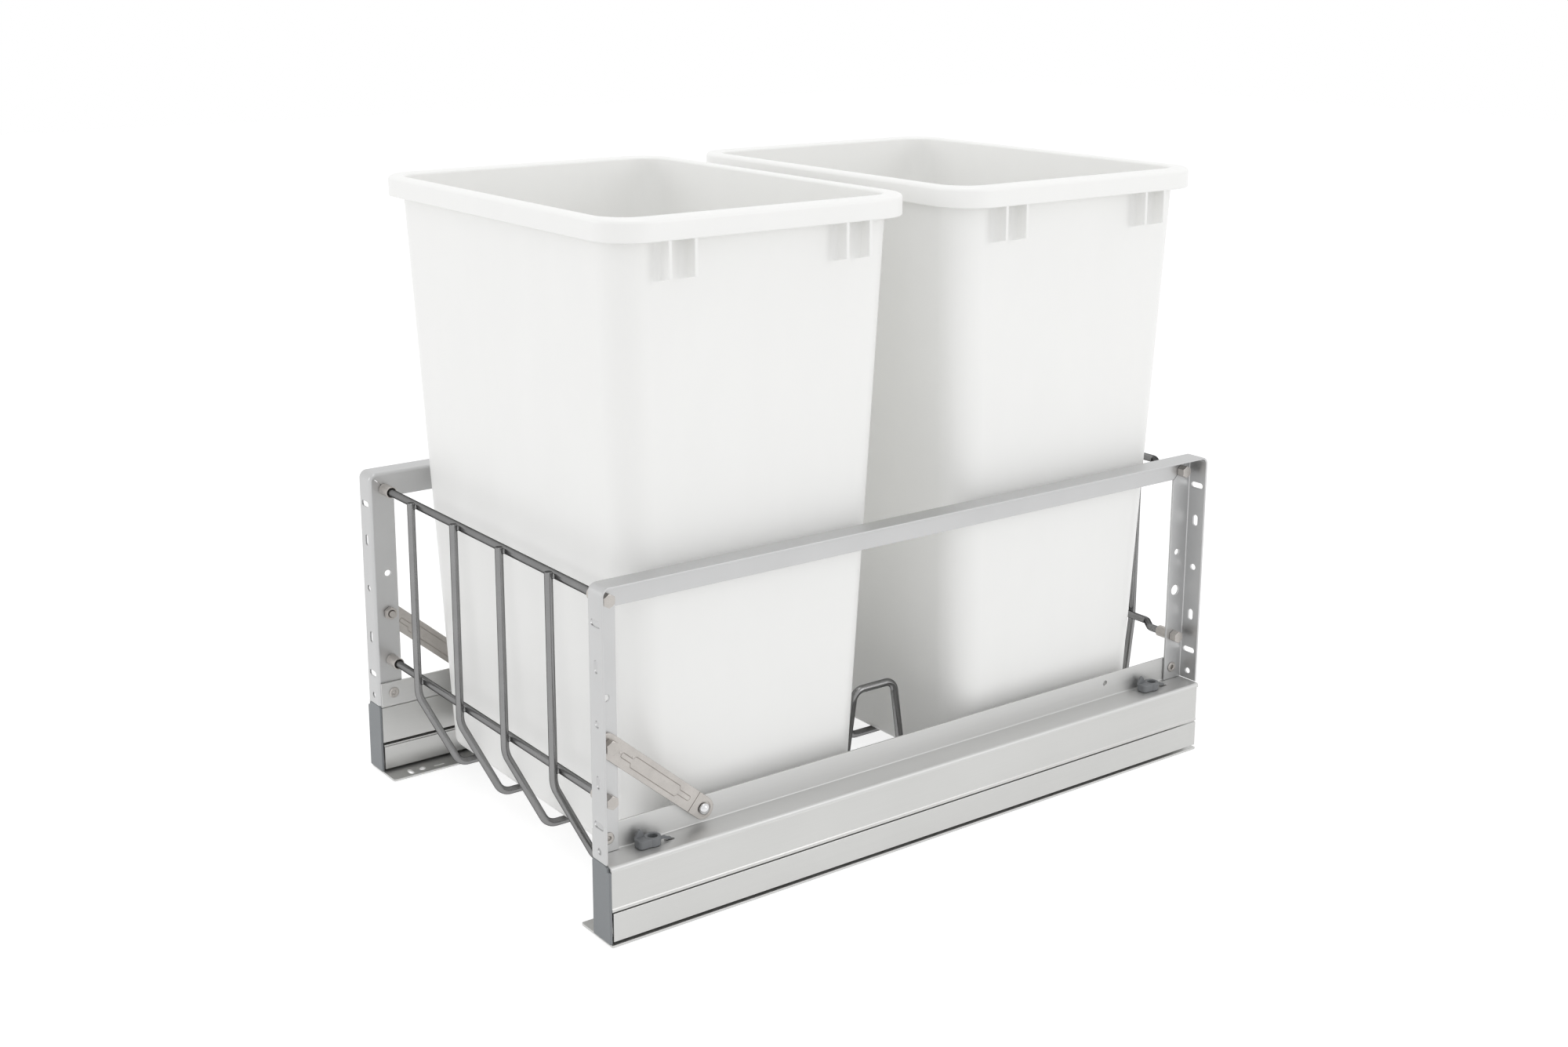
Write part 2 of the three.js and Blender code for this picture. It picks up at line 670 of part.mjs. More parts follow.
function brace() {
  const down = new THREE.Vector2(
    -BRACE_RIVET_Y + HARDWARE_Y,
    BRACE_RIVET_Z - BRACE_BOLT_Z,
  );
  const heading = Math.atan2(down.y, down.x);
  const length = down.length();
  const shape = slotOutline(
    (length - BRACE_TAIL) / 2,
    0,
    length + BRACE_TAIL + 2 * BRACE_HALF_WIDTH,
    2 * BRACE_HALF_WIDTH,
  );
  const placed = shape.getPoints(ARC_STEPS).map((p) => {
    const q = p.rotateAround(new THREE.Vector2(0, 0), heading);
    return [q.x - HARDWARE_Y, q.y + BRACE_BOLT_Z];
  });
  return cut(
    alongX(outline(placed), BRACE_IN, BRACE_OUT),
    webHole(-HARDWARE_Y, BRACE_BOLT_Z, BOLT_HOLE_R),
    webHole(-BRACE_RIVET_Y, BRACE_RIVET_Z, BOLT_HOLE_R),
  );
}

const BRACE_NUT_OUT = WEB_X - GAP;
const BRACE_NUT_IN = BRACE_NUT_OUT - BRACE_NUT_HEIGHT;

function braceBolt() {
  const headIn = BRACE_OUT + GAP;
  const y = -HARDWARE_Y;
  const z = BRACE_BOLT_Z;
  return joined(
    hexX(headIn, headIn + BRACE_HEX.height, y, z, BRACE_HEX.flats),
    pin(v3(BRACE_NUT_IN - BOLT_END, y, z), v3(headIn + PAST, y, z), BAR_BOLT_R),
  );
}

function braceNut() {
  const y = -HARDWARE_Y;
  const z = BRACE_BOLT_Z;
  const bore = pin(v3(BRACE_NUT_IN - PAST, y, z), v3(WEB_X, y, z), BAR_BOLT_R + GAP);
  return cut(hexX(BRACE_NUT_IN, BRACE_NUT_OUT, y, z, BRACE_HEX.flats), bore);
}

const RIVET_HEAD_R = 4.2;
const RIVET_BORE = 1.6;
const CLINCH = 0.8; // height of a clinched rivet foot
const DOME_HEIGHT = 3;
const DOME_STEPS = 3;

// A dome outside, a spacer between brace and upstand, and a clinched foot inside.
function braceRivet() {
  const barrel = BAR_BOLT_R;
  const inFace = UPSTAND_OUT - SHEET - GAP;
  const out = BRACE_OUT + GAP;
  const dome = [];
  for (let k = 0; k < DOME_STEPS; k++) {
    const turn = ((Math.PI / 2) * k) / DOME_STEPS;
    dome.push([out + DOME_HEIGHT * Math.sin(turn), RIVET_HEAD_R * Math.cos(turn)]);
  }
  return turnedX(
    [
      [inFace - CLINCH, 0],
      [inFace - CLINCH, RIVET_HEAD_R],
      [inFace, RIVET_HEAD_R],
      [inFace, barrel],
      [UPSTAND_OUT + GAP, barrel],
      [UPSTAND_OUT + GAP, RIVET_HEAD_R],
      [BRACE_IN - GAP, RIVET_HEAD_R],
      [BRACE_IN - GAP, barrel],
      [out, barrel],
      ...dome,
      [out + DOME_HEIGHT, 0],
    ],
    -BRACE_RIVET_Y,
    BRACE_RIVET_Z,
  );
}

// A hollow rivet through a post's web and the upstand.
function postRivet(y) {
  const inFace = UPSTAND_OUT - SHEET - GAP;
  const outFace = WEB_X + SHEET + GAP;
  return turnedX(
    [
      [inFace - CLINCH, RIVET_BORE],
      [inFace - CLINCH, RIVET_HEAD_R],
      [inFace, RIVET_HEAD_R],
      [inFace, BAR_BOLT_R],
      [outFace, BAR_BOLT_R],
      [outFace, RIVET_HEAD_R],
      [outFace + CLINCH, RIVET_HEAD_R],
      [outFace + CLINCH, RIVET_BORE],
    ],
    y,
    POST_RIVET_Z,
  );
}

// ---- cradle: cross bars, their screwed collars and the four long wires ----------------------------
const COLLAR_LENGTH = 13;
const COLLAR_R = 4.5;
const COLLAR_IN = WEB_X - GAP - COLLAR_LENGTH;
const BAR_END = COLLAR_IN + 6.5; // how far a bar reaches into its collars
const COLLAR_BEVEL = 0.5;
const COLLAR_PLAY = 0.2; // radial room around the bar and the bolt
const BAR_HEX = { flats: 8, height: 3.4 };
const STEP_OUT = 137; // a rear bar steps back between these two distances from the middle
const STEP_IN = 124;
const STEP_BEND = 7;

function collar(y, z) {
  const step = BAR_END + GAP;
  const out = WEB_X - GAP;
  return turnedX(
    [
      [COLLAR_IN, WIRE_R + COLLAR_PLAY],
      [COLLAR_IN, COLLAR_R - COLLAR_BEVEL],
      [COLLAR_IN + COLLAR_BEVEL, COLLAR_R],
      [out - COLLAR_BEVEL, COLLAR_R],
      [out, COLLAR_R - COLLAR_BEVEL],
      [out, BAR_BOLT_R + COLLAR_PLAY],
      [step, BAR_BOLT_R + COLLAR_PLAY],
      [step, WIRE_R + COLLAR_PLAY],
    ],
    y,
    z,
  );
}

function barBolt(y, z) {
  const headIn = WEB_X + SHEET + GAP;
  return joined(
    hexX(headIn, headIn + BAR_HEX.height, y, z, BAR_HEX.flats),
    pin(v3(BAR_END + 2 * GAP, y, z), v3(headIn + PAST, y, z), BAR_BOLT_R),
  );
}

function frontBar(z) {
  const y = -HARDWARE_Y;
  return wire([v3(-BAR_END, y, z), v3(BAR_END, y, z)], Z_AXIS, []);
}

// The rear bars step back behind the rear bin: their ends sit on the frames' bolt line.
function rearBar(z) {
  const corners = [
    v3(-BAR_END, HARDWARE_Y, z),
    v3(-STEP_OUT, HARDWARE_Y, z),
    v3(-STEP_IN, REAR_BAR_Y, z),
    v3(STEP_IN, REAR_BAR_Y, z),
    v3(STEP_OUT, HARDWARE_Y, z),
    v3(BAR_END, HARDWARE_Y, z),
  ];
  const bends = Array(corners.length - 2).fill(STEP_BEND);
  return wire(corners, Z_AXIS, bends);
}

const WIRE_STAND_OFF = 2 * WIRE_R + GAP; // a long wire's centre line, from the bar it is welded to
const WIRE_TOP = TOP_BAR_Z + WIRE_R + 0.6;
const HOOP_TOP = 92;
const HOOP_HALF_TOP = 19;
const HOOP_HALF_FOOT = 29.7;
const FRONT_SLOPE = { y: -241.5, top: 84 }; // the wires lean in under the front bin from here
const REAR_SLOPE = { y: 276, top: 88 };
const SLOPE_BEND = 24; // centre-line bend radii, at the top and the foot of the slopes
const FOOT_BEND = 12;
const HOOP_BEND = 9;

function longWire(x) {
  const front = -HARDWARE_Y - WIRE_STAND_OFF;
  const rear = REAR_BAR_Y + WIRE_STAND_OFF;
  const route = [
    [front, WIRE_TOP],
    [front, FRONT_SLOPE.top],
    [FRONT_SLOPE.y, FLOOR_Z],
    [BASKET_MID - HOOP_HALF_FOOT, FLOOR_Z],
    [BASKET_MID - HOOP_HALF_TOP, HOOP_TOP],
    [BASKET_MID + HOOP_HALF_TOP, HOOP_TOP],
    [BASKET_MID + HOOP_HALF_FOOT, FLOOR_Z],
    [REAR_SLOPE.y, FLOOR_Z],
    [rear, REAR_SLOPE.top],
    [rear, WIRE_TOP],
  ];
  const hoop = Array(4).fill(HOOP_BEND);
  const bends = [SLOPE_BEND, FOOT_BEND, ...hoop, FOOT_BEND, SLOPE_BEND];
  return wire(
    route.map(([y, z]) => v3(x, y, z)),
    X_AXIS,
    bends,
  );
}

// ---- bin: tapered shell with a turned-down rim band and four pairs of gussets ---------------------
const BIN_CORNER = 24;
const BIN_FOOT_ROUND = 7; // rounding between the walls and the foot
const BIN_FLOOR = 2.6;
const BIN_EDGE = 1.2; // bevel along the rim's top edge
const RIM_CORNER = 30;
const LEAST_CORNER = 4;
const CORNER_STEPS = 6;
const GUSSET_Y = [-80.6, -61, 61, 80.6];
const GUSSET_THICK = 2.5;
const GUSSET_DROP = 27; // how far the gussets run down below the rim band
const GUSSET_RISE = 2; // their lower edge climbs this much on its way out

// A rounded rectangle with its middle at (0, y) and height z.
function ring(halfX, halfY, radius, y, z) {
  const points = [];
  [
    [1, 1, 0],
    [-1, 1, 1],
    [-1, -1, 2],
    [1, -1, 3],
  ].forEach(([sx, sy, quarter]) => {
    for (let k = 0; k <= CORNER_STEPS; k++) {
      const turn = (Math.PI / 2) * (quarter + k / CORNER_STEPS);
      const px = sx * (halfX - radius) + radius * Math.cos(turn);
      const py = sy * (halfY - radius) + radius * Math.sin(turn);
      points.push(v3(px, y + py, z));
    }
  });
  return points;
}

// The body's half sizes at a height, set in by a distance.
function bodyHalf(z, inset) {
  const share = (z - BIN_BOTTOM) / (BIN_TOP - BIN_BOTTOM);
  return [0, 1].map(
    (k) => BIN_BOTTOM_HALF[k] + share * (BIN_TOP_HALF[k] - BIN_BOTTOM_HALF[k]) - inset,
  );
}

function bin(y) {
  const body = (z, inset) => {
    const radius = Math.max(BIN_CORNER - inset, LEAST_CORNER);
    return ring(...bodyHalf(z, inset), radius, y, z);
  };
  const band = (z, inset) => {
    const [halfX, halfY] = BIN_RIM_HALF.map((size) => size - inset);
    return ring(halfX, halfY, RIM_CORNER - inset, y, z);
  };
  const round = BIN_FOOT_ROUND;
  const half = round * (1 - Math.SQRT1_2);
  const bandBottom = BIN_TOP - BIN_RIM;
  const floor = BIN_BOTTOM + BIN_FLOOR;
  const rings = [
    body(BIN_BOTTOM, round),
    body(BIN_BOTTOM + half, half),
    body(BIN_BOTTOM + round, 0),
    body(BIN_TOP - BIN_WALL, 0),
    band(BIN_TOP - BIN_WALL, BIN_WALL),
    band(bandBottom, BIN_WALL),
    band(bandBottom, 0),
    band(BIN_TOP - BIN_EDGE, 0),
    band(BIN_TOP, BIN_EDGE),
    body(BIN_TOP, BIN_WALL - BIN_EDGE),
    body(BIN_TOP - BIN_EDGE, BIN_WALL),
    body(floor + round, BIN_WALL),
    body(floor + half, BIN_WALL + half),
    body(floor, BIN_WALL + round),
  ];
  const gussets = [];
  [-1, 1].forEach((side) => {
    GUSSET_Y.forEach((along) => {
      const top = BIN_TOP - BIN_WALL / 2;
      const foot = bandBottom - GUSSET_DROP;
      const wall = bodyHalf(foot, BIN_WALL / 2)[0];
      const upper = bodyHalf(top, BIN_WALL / 2)[0];
      const reach = BIN_RIM_HALF[0] - BIN_WALL / 2;
      const plate = outline([
        [side * wall, foot],
        [side * reach, foot + GUSSET_RISE],
        [side * reach, top],
        [side * upper, top],
      ]);
      const middle = y + along;
      gussets.push(alongY(plate, middle - GUSSET_THICK / 2, middle + GUSSET_THICK / 2));
    });
  });
  return joined(ringSolid(rings), ...gussets);
}

// ---- the whole unit ------------------------------------------------------------------------------
// The rear wires stand out past the frames, so the middle of the outer box lies behind the frames'.
const REAR_REACH = REAR_BAR_Y + WIRE_STAND_OFF + WIRE_R;
const unit = new THREE.Group();
unit.position.y = (FRAME_HALF - REAR_REACH) / 2;
part.add(unit);

const ENDS = [
  ["front", -1],
  ["rear", 1],
];
const BARS = [
  ["top", TOP_BAR_Z],
  ["lower", LOW_BAR_Z],
];

// One side is modelled, at +X; the left side is its mirror image.
["right", "left"].forEach((side) => {
  const group = new THREE.Group();
  group.scale.x = side === "right" ? 1 : -1;
  unit.add(group);
  const add = (name, made, material) => addMesh(group, `${side}_${name}`, made, material);
  add("foot_rail", footRail(), SLIDE_STEEL);
  add("lower_ball_cage", ballCage(LOWER_CAGE), BALL_STEEL);
  add("middle_member", middleMember(), SLIDE_STEEL);
  add("upper_ball_cage", ballCage(UPPER_CAGE), BALL_STEEL);
  add("top_member", topMember(), SLIDE_STEEL);
  add("end_cap", endCap(), CAP_PLASTIC);
  add("soft_close_damper", damper(), LEVER_PLASTIC);
  add("base_rail", baseRail(), ALUMINIUM);
  add("side_frame", sideFrame(), ALUMINIUM);
  add("brace", brace(), NICKEL);
  add("brace_bolt", braceBolt(), NICKEL);
  add("brace_nut", braceNut(), NICKEL);
  add("brace_rivet", braceRivet(), NICKEL);
  ENDS.forEach(([end, sign]) => {
    add(`${end}_post_rivet`, postRivet(sign * HARDWARE_Y), NICKEL);
    add(`${end}_release_lever`, releaseLever(sign * LEVER_Y), LEVER_PLASTIC);
    BARS.forEach(([level, z]) => {
      add(`${end}_${level}_collar`, collar(sign * HARDWARE_Y, z), NICKEL);
      add(`${end}_${level}_bolt`, barBolt(sign * HARDWARE_Y, z), NICKEL);
    });
  });
});

BARS.forEach(([level, z]) => {
  addMesh(unit, `front_${level}_bar`, frontBar(z), DARK_WIRE);
  addMesh(unit, `rear_${level}_bar`, rearBar(z), DARK_WIRE);
});
WIRE_X.forEach((x, i) => addMesh(unit, `long_wire_${i + 1}`, longWire(x), DARK_WIRE));
addMesh(unit, "front_bin", bin(BASKET_MID - BIN_OFFSET), BIN_PLASTIC);
addMesh(unit, "rear_bin", bin(BASKET_MID + BIN_OFFSET), BIN_PLASTIC);

export default part;
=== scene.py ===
"""Looks of a double pull-out waste unit: two tall bins in a wire cradle between two side frames.

Shapes are drawn in millimetres about the middle of the side frames: +X is the user's right, -Y is
the front, +Z is up. They are scaled to metres and put in place when they become pieces. One side is
drawn, at +X, and the left side is its mirror image.
"""

import json
import math

import bmesh
import bpy
from mathutils import Matrix, Vector

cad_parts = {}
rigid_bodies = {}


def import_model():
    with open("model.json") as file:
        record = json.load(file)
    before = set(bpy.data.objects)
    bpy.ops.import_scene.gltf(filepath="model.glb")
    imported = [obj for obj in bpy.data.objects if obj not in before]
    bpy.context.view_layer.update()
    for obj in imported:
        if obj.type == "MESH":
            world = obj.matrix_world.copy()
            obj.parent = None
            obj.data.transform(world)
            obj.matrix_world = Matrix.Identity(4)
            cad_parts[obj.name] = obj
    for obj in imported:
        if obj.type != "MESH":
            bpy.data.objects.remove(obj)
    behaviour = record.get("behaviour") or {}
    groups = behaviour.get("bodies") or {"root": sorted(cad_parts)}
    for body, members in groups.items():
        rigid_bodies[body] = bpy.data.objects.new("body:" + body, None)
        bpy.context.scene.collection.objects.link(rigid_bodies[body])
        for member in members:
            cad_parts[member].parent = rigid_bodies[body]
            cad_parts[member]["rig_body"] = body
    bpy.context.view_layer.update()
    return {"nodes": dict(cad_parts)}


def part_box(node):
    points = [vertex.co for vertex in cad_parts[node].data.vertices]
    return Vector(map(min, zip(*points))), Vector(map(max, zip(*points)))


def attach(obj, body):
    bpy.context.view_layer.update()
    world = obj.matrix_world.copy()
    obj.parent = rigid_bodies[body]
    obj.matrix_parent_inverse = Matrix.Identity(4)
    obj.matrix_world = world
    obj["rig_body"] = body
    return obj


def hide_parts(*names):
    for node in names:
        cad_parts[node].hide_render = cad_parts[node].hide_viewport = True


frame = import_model()

# ---- driving dimensions, taken from the frame ----
MM = 0.001


def box_mm(node):
    """A node's lowest and highest corners in millimetres."""
    low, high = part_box(node)
    return low / MM, high / MM


FRAME_LOW, FRAME_HIGH = box_mm("right_side_frame")
RAIL_LOW, RAIL_HIGH = box_mm("right_base_rail")
FOOT_LOW, FOOT_HIGH = box_mm("right_foot_rail")
MIDDLE_LOW, MIDDLE_HIGH = box_mm("right_middle_member")
TOP_LOW, TOP_HIGH = box_mm("right_top_member")
CAP_LOW, CAP_HIGH = box_mm("right_end_cap")
BRACE_LOW, BRACE_HIGH = box_mm("right_brace")
COLLAR_LOW, COLLAR_HIGH = box_mm("right_front_top_collar")
BOLT_LOW = box_mm("right_front_top_bolt")[0]
BAR_LOW, BAR_HIGH = box_mm("front_top_bar")
LOW_BAR_LOW, LOW_BAR_HIGH = box_mm("front_lower_bar")
REAR_BAR_HIGH = box_mm("rear_top_bar")[1]
WIRE_LOW, WIRE_HIGH = box_mm("long_wire_1")
BIN_LOW, BIN_HIGH = box_mm("front_bin")
REAR_BIN_LOW, REAR_BIN_HIGH = box_mm("rear_bin")
LEVER_LOW, LEVER_HIGH = box_mm("right_front_release_lever")

MIDDLE_Y = (FRAME_LOW.y + FRAME_HIGH.y) / 2
FRAME_HALF = (FRAME_HIGH.y - FRAME_LOW.y) / 2
FRAME_TOP = FRAME_HIGH.z
POST_FOOT = FRAME_LOW.z
WEB_X = FRAME_LOW.x
FLANGE_TIP = FRAME_HIGH.x
SHEET = 1.6
GAP = 0.3
PAST = 1.0

HARDWARE_IN = 12.0  # from the frame's outer faces to its bolts and rivets
HARDWARE_Y = FRAME_HALF - HARDWARE_IN
TOP_BAR_Z = (BAR_LOW.z + BAR_HIGH.z) / 2
LOW_BAR_Z = (LOW_BAR_LOW.z + LOW_BAR_HIGH.z) / 2
WIRE_R = (BAR_HIGH.z - BAR_LOW.z) / 2
UPSTAND_OUT = WEB_X - GAP
UPSTAND_IN = RAIL_LOW.x
BRACE_IN = BRACE_LOW.x
BRACE_OUT = BRACE_HIGH.x
BRACE_BOLT_Z = 132.5
BRACE_BOLT = Vector((-HARDWARE_Y, BRACE_BOLT_Z))
BRACE_RIVET = Vector((-194.0, 69.0))
POST_RIVET_Z = 67.0

# Fineness of the round shapes.
WELD = 1e-4
ROUND_SIDES = 32
FOLD_STEPS = 5
SLOT_STEPS = 8
EDGE_STEPS = 2
BEND_STEPS = 10
SMOOTH_ANGLE = math.radians(31)


# ---- outlines ----
def neighbours(outline):
    """Each point of a closed outline with the one before it and the one after it."""
    return zip(outline[-1:] + outline[:-1], outline, outline[1:] + outline[:1])


def signed_area(outline):
    """Twice the area inside an outline, positive where it runs anticlockwise."""
    return sum(here.x * after.y - after.x * here.y for _, here, after in neighbours(outline))


def inset(outline, distance):
    """An outline moved inwards by a distance, or outwards where the distance is negative."""
    turn = 1 if signed_area(outline) > 0 else -1
    moved = []
    for before, here, after in neighbours(outline):
        arriving = (here - before).normalized()
        leaving = (after - here).normalized()
        mitre = Vector((-arriving.y - leaving.y, arriving.x + leaving.x)) * turn
        moved.append(here + mitre * (2 * distance / mitre.length_squared))
    return moved


def arc(centre, radius, start, end, steps):
    """Points on a circle from one angle to another, in degrees, both ends included."""
    turns = [math.radians(start + (end - start) * k / steps) for k in range(steps + 1)]
    return [centre + radius * Vector((math.cos(a), math.sin(a))) for a in turns]


def circle(centre, radius, sides=ROUND_SIDES):
    """A round outline."""
    return arc(Vector(centre), radius, 0, 360, sides)[:-1]


def slot_outline(centre, length, width, turn=0):
    """A round-ended slot; turn, in degrees, is the angle of its long way."""
    spin = Matrix.Rotation(math.radians(turn), 2)
    reach = Vector(((length - width) / 2, 0))
    right = arc(reach, width / 2, -90, 90, SLOT_STEPS)
    left = arc(-reach, width / 2, 90, 270, SLOT_STEPS)
    return [Vector(centre) + spin @ point for point in right + left]


def rounded(corners, radii, steps=FOLD_STEPS):
    """A closed outline whose corners are turned to their own radii; 0 leaves a corner sharp."""
    corners = [Vector(corner) for corner in corners]
    outline = []
    for (before, here, after), radius in zip(neighbours(corners), radii):
        if not radius:
            outline.append(here)
            continue
        back = (before - here).normalized()
        onward = (after - here).normalized()
        half = back.angle(onward) / 2
        centre = here + (back + onward).normalized() * radius / math.sin(half)
        first = here + back * radius / math.tan(half) - centre
        last = here + onward * radius / math.tan(half) - centre
        start = math.degrees(math.atan2(first.y, first.x))
        swing = math.degrees(math.atan2(last.y, last.x)) - start
        swing = (swing + 180) % 360 - 180
        outline += arc(centre, radius, start, start + swing, steps)
    return outline


# ---- solids ----
def solid(verts, faces):
    """A closed mesh, welded and facing outwards."""
    mesh = bpy.data.meshes.new("shape")
    mesh.from_pydata([tuple(vert) for vert in verts], [], faces)
    work = bmesh.new()
    work.from_mesh(mesh)
    bmesh.ops.remove_doubles(work, verts=work.verts, dist=WELD)
    bmesh.ops.dissolve_degenerate(work, edges=work.edges, dist=WELD)
    bmesh.ops.recalc_face_normals(work, faces=work.faces)
    work.to_mesh(mesh)
    work.free()
    return mesh


def loft(rings, loop=False):
    """A skin over rings of equal point counts, capped at both ends unless it loops."""
    count = len(rings[0])
    faces = []
    for r in range(len(rings) if loop else len(rings) - 1):
        low = r * count
        high = (r + 1) % len(rings) * count
        for k in range(count):
            after = (k + 1) % count
            faces.append((low + k, low + after, high + after, high + k))
    if not loop:
        faces.append(tuple(reversed(range(count))))
        faces.append(tuple(range((len(rings) - 1) * count, len(rings) * count)))
    return solid([point for ring in rings for point in ring], faces)


def standing(axis, outline, at):
    """An outline's points in space, at a distance along the axis that it faces."""
    if axis == "x":
        return [(at, point.x, point.y) for point in outline]
    if axis == "y":
        return [(point.x, at, point.y) for point in outline]
    return [(point.x, point.y, at) for point in outline]


def slab(axis, outline, low, high, edge=0.3, steps=EDGE_STEPS):
    """An outline run along an axis, with the edges of both end faces rounded."""
    turns = [math.pi / 2 * k / steps for k in range(steps + 1)] if edge else [math.pi / 2]
    insets = [edge * (1 - math.sin(turn)) for turn in turns]
    depths = [edge * (1 - math.cos(turn)) for turn in turns]
    rings = [standing(axis, inset(outline, i), low + d) for i, d in zip(insets, depths)]
    rings += [standing(axis, inset(outline, i), high - d) for i, d in zip(insets, depths)][::-1]
    return loft(rings)


def drill(axis, outline, low, high, chamfer=0.25):
    """A cutting tool for a hole through a sheet, with both of its mouths chamfered."""
    stages = [(low - chamfer, -2 * chamfer), (low + chamfer, 0)]
    stages += [(high - chamfer, 0), (high + chamfer, -2 * chamfer)]
    return loft([standing(axis, inset(outline, grow), at) for at, grow in stages])


def turned(profile, centre=(0, 0), axis="x", sides=ROUND_SIDES):
    """A piece turned about an axis: each profile point is (place along the axis, radius)."""
    rings = []
    for k in range(sides):
        turn = 2 * math.pi * k / sides
        a, b = math.cos(turn), math.sin(turn)
        ring = [(at, centre[0] + r * a, centre[1] + r * b) for at, r in profile]
        rings.append(ring if axis == "x" else [(p[1], p[0], p[2]) for p in ring])
    return loft(rings, loop=True)


def oval(long, high, steps):
    """A profile that turns into an oval, from end to end."""
    turns = [math.pi * k / steps for k in range(steps + 1)]
    return [(-long * math.cos(turn), high * math.sin(turn)) for turn in turns]


def merged(meshes):
    """Separate meshes as one mesh."""
    work = bmesh.new()
    for mesh in meshes:
        work.from_mesh(mesh)
    whole = bpy.data.meshes.new("shape")
    work.to_mesh(whole)
    work.free()
    return whole


def in_scene(name, data):
    """A new object, linked into the scene."""
    item = bpy.data.objects.new(name, data)
    bpy.context.scene.collection.objects.link(item)
    return item


def combined(operation, mesh, tool):
    """Two closed meshes cut, joined or intersected."""
    holder = in_scene("holder", mesh)
    other = in_scene("tool", tool)
    modifier = holder.modifiers.new("combine", "BOOLEAN")
    modifier.operation = operation
    modifier.solver = "MANIFOLD"
    modifier.object = other
    graph = bpy.context.evaluated_depsgraph_get()
    result = bpy.data.meshes.new_from_object(holder.evaluated_get(graph))
    bpy.data.objects.remove(holder)
    bpy.data.objects.remove(other)
    return result


def cut(mesh, *tools):
    """A mesh less tools that don't touch each other."""
    return combined("DIFFERENCE", mesh, merged(tools))


def joined(mesh, *others):
    """Closed meshes that overlap, as one skin."""
    for other in others:
        mesh = combined("UNION", mesh, other)
    return mesh


def bent(corners, radii):
    """Stations (point, direction) of a wire whose inner corners are bent to their radii."""
    corners = [Vector(corner) for corner in corners]
    stations = [(corners[0], (corners[1] - corners[0]).normalized())]
    for k, radius in enumerate(radii, start=1):
        before = (corners[k] - corners[k - 1]).normalized()
        after = (corners[k + 1] - corners[k]).normalized()
        angle = before.angle(after)
        inward = (after - before * before.dot(after)).normalized()
        start = corners[k] - before * radius * math.tan(angle / 2)
        for step in range(BEND_STEPS + 1):
            turn = angle * step / BEND_STEPS
            swing = before * math.sin(turn) + inward * (1 - math.cos(turn))
            heading = before * math.cos(turn) + inward * math.sin(turn)
            stations.append((start + swing * radius, heading))
    stations.append((corners[-1], (corners[-1] - corners[-2]).normalized()))
    return stations


def wire(stations, normal, sides=20, chamfer=0.35):
    """A round wire through stations that lie in the plane with this normal."""
    normal = Vector(normal)
    first, last = stations[0], stations[-1]
    inner_first = (first[0] + first[1] * chamfer, first[1])
    inner_last = (last[0] - last[1] * chamfer, last[1])
    path = [first, inner_first] + stations[1:-1] + [inner_last, last]
    rings = []
    for k, (point, along) in enumerate(path):
        size = WIRE_R - chamfer if k in (0, len(path) - 1) else WIRE_R
        across = along.cross(normal)
        turns = [2 * math.pi * n / sides for n in range(sides)]
        rings.append([point + size * (normal * math.cos(t) + across * math.sin(t)) for t in turns])
    return loft(rings)


# ---- materials ----
NOISE_LOW, NOISE_HIGH = 0.3, 0.7  # the spread that noise mostly fills


class Shader:
    """A material's node tree, built from short calls."""

    def __init__(self, name, color, roughness, metallic=0.0):
        self.material = bpy.data.materials.new(name)
        self.material.use_nodes = True
        self.tree = self.material.node_tree
        self.surface = self.tree.nodes["Principled BSDF"]
        self.surface.inputs["Base Color"].default_value = (*color, 1)
        self.surface.inputs["Roughness"].default_value = roughness
        self.surface.inputs["Metallic"].default_value = metallic
        self.color = color
        self.place = self.tree.nodes.new("ShaderNodeTexCoord").outputs["Object"]
        self.bump = None

    def node(self, kind, values):
        """A new node with some of its inputs set."""
        made = self.tree.nodes.new(kind)
        for name, value in values.items():
            made.inputs[name].default_value = value
        return made

    def link(self, output, node, name):
        self.tree.links.new(output, node.inputs[name])

    def noise(self, stretch, scale, detail=3.0, roughness=0.55):
        """Noise in the piece's own space; stretch sets its fineness along X, Y and Z."""
        mapping = self.node("ShaderNodeMapping", {"Scale": stretch})
        self.link(self.place, mapping, "Vector")
        values = {"Scale": scale, "Detail": detail, "Roughness": roughness}
        texture = self.node("ShaderNodeTexNoise", values)
        self.link(mapping.outputs["Vector"], texture, "Vector")
        return texture.outputs["Fac"]

    def ranged(self, value, low, high):
        """A noise value taken from its usual spread to a range."""
        ends = {"From Min": NOISE_LOW, "From Max": NOISE_HIGH, "To Min": low, "To Max": high}
        node = self.node("ShaderNodeMapRange", ends)
        self.link(value, node, "Value")
        return node.outputs["Result"]

    def vary_color(self, value, depth):
        """The base colour made lighter and darker by a share of itself."""
        mix = self.tree.nodes.new("ShaderNodeMix")
        mix.data_type = "RGBA"
        mix.inputs["A"].default_value = (*[c * (1 - depth) for c in self.color], 1)
        mix.inputs["B"].default_value = (*[min(1, c * (1 + depth)) for c in self.color], 1)
        self.link(self.ranged(value, 0, 1), mix, "Factor")
        self.link(mix.outputs["Result"], self.surface, "Base Color")

    def vary_roughness(self, value, low, high):
        self.link(self.ranged(value, low, high), self.surface, "Roughness")

    def add_bump(self, value, height, strength):
        """Relief of a height in metres, laid over any relief before it."""
        node = self.node("ShaderNodeBump", {"Distance": height, "Strength": strength})
        self.link(value, node, "Height")
        if self.bump:
            self.link(self.bump, node, "Normal")
        self.bump = node.outputs["Normal"]
        self.link(self.bump, self.surface, "Normal")


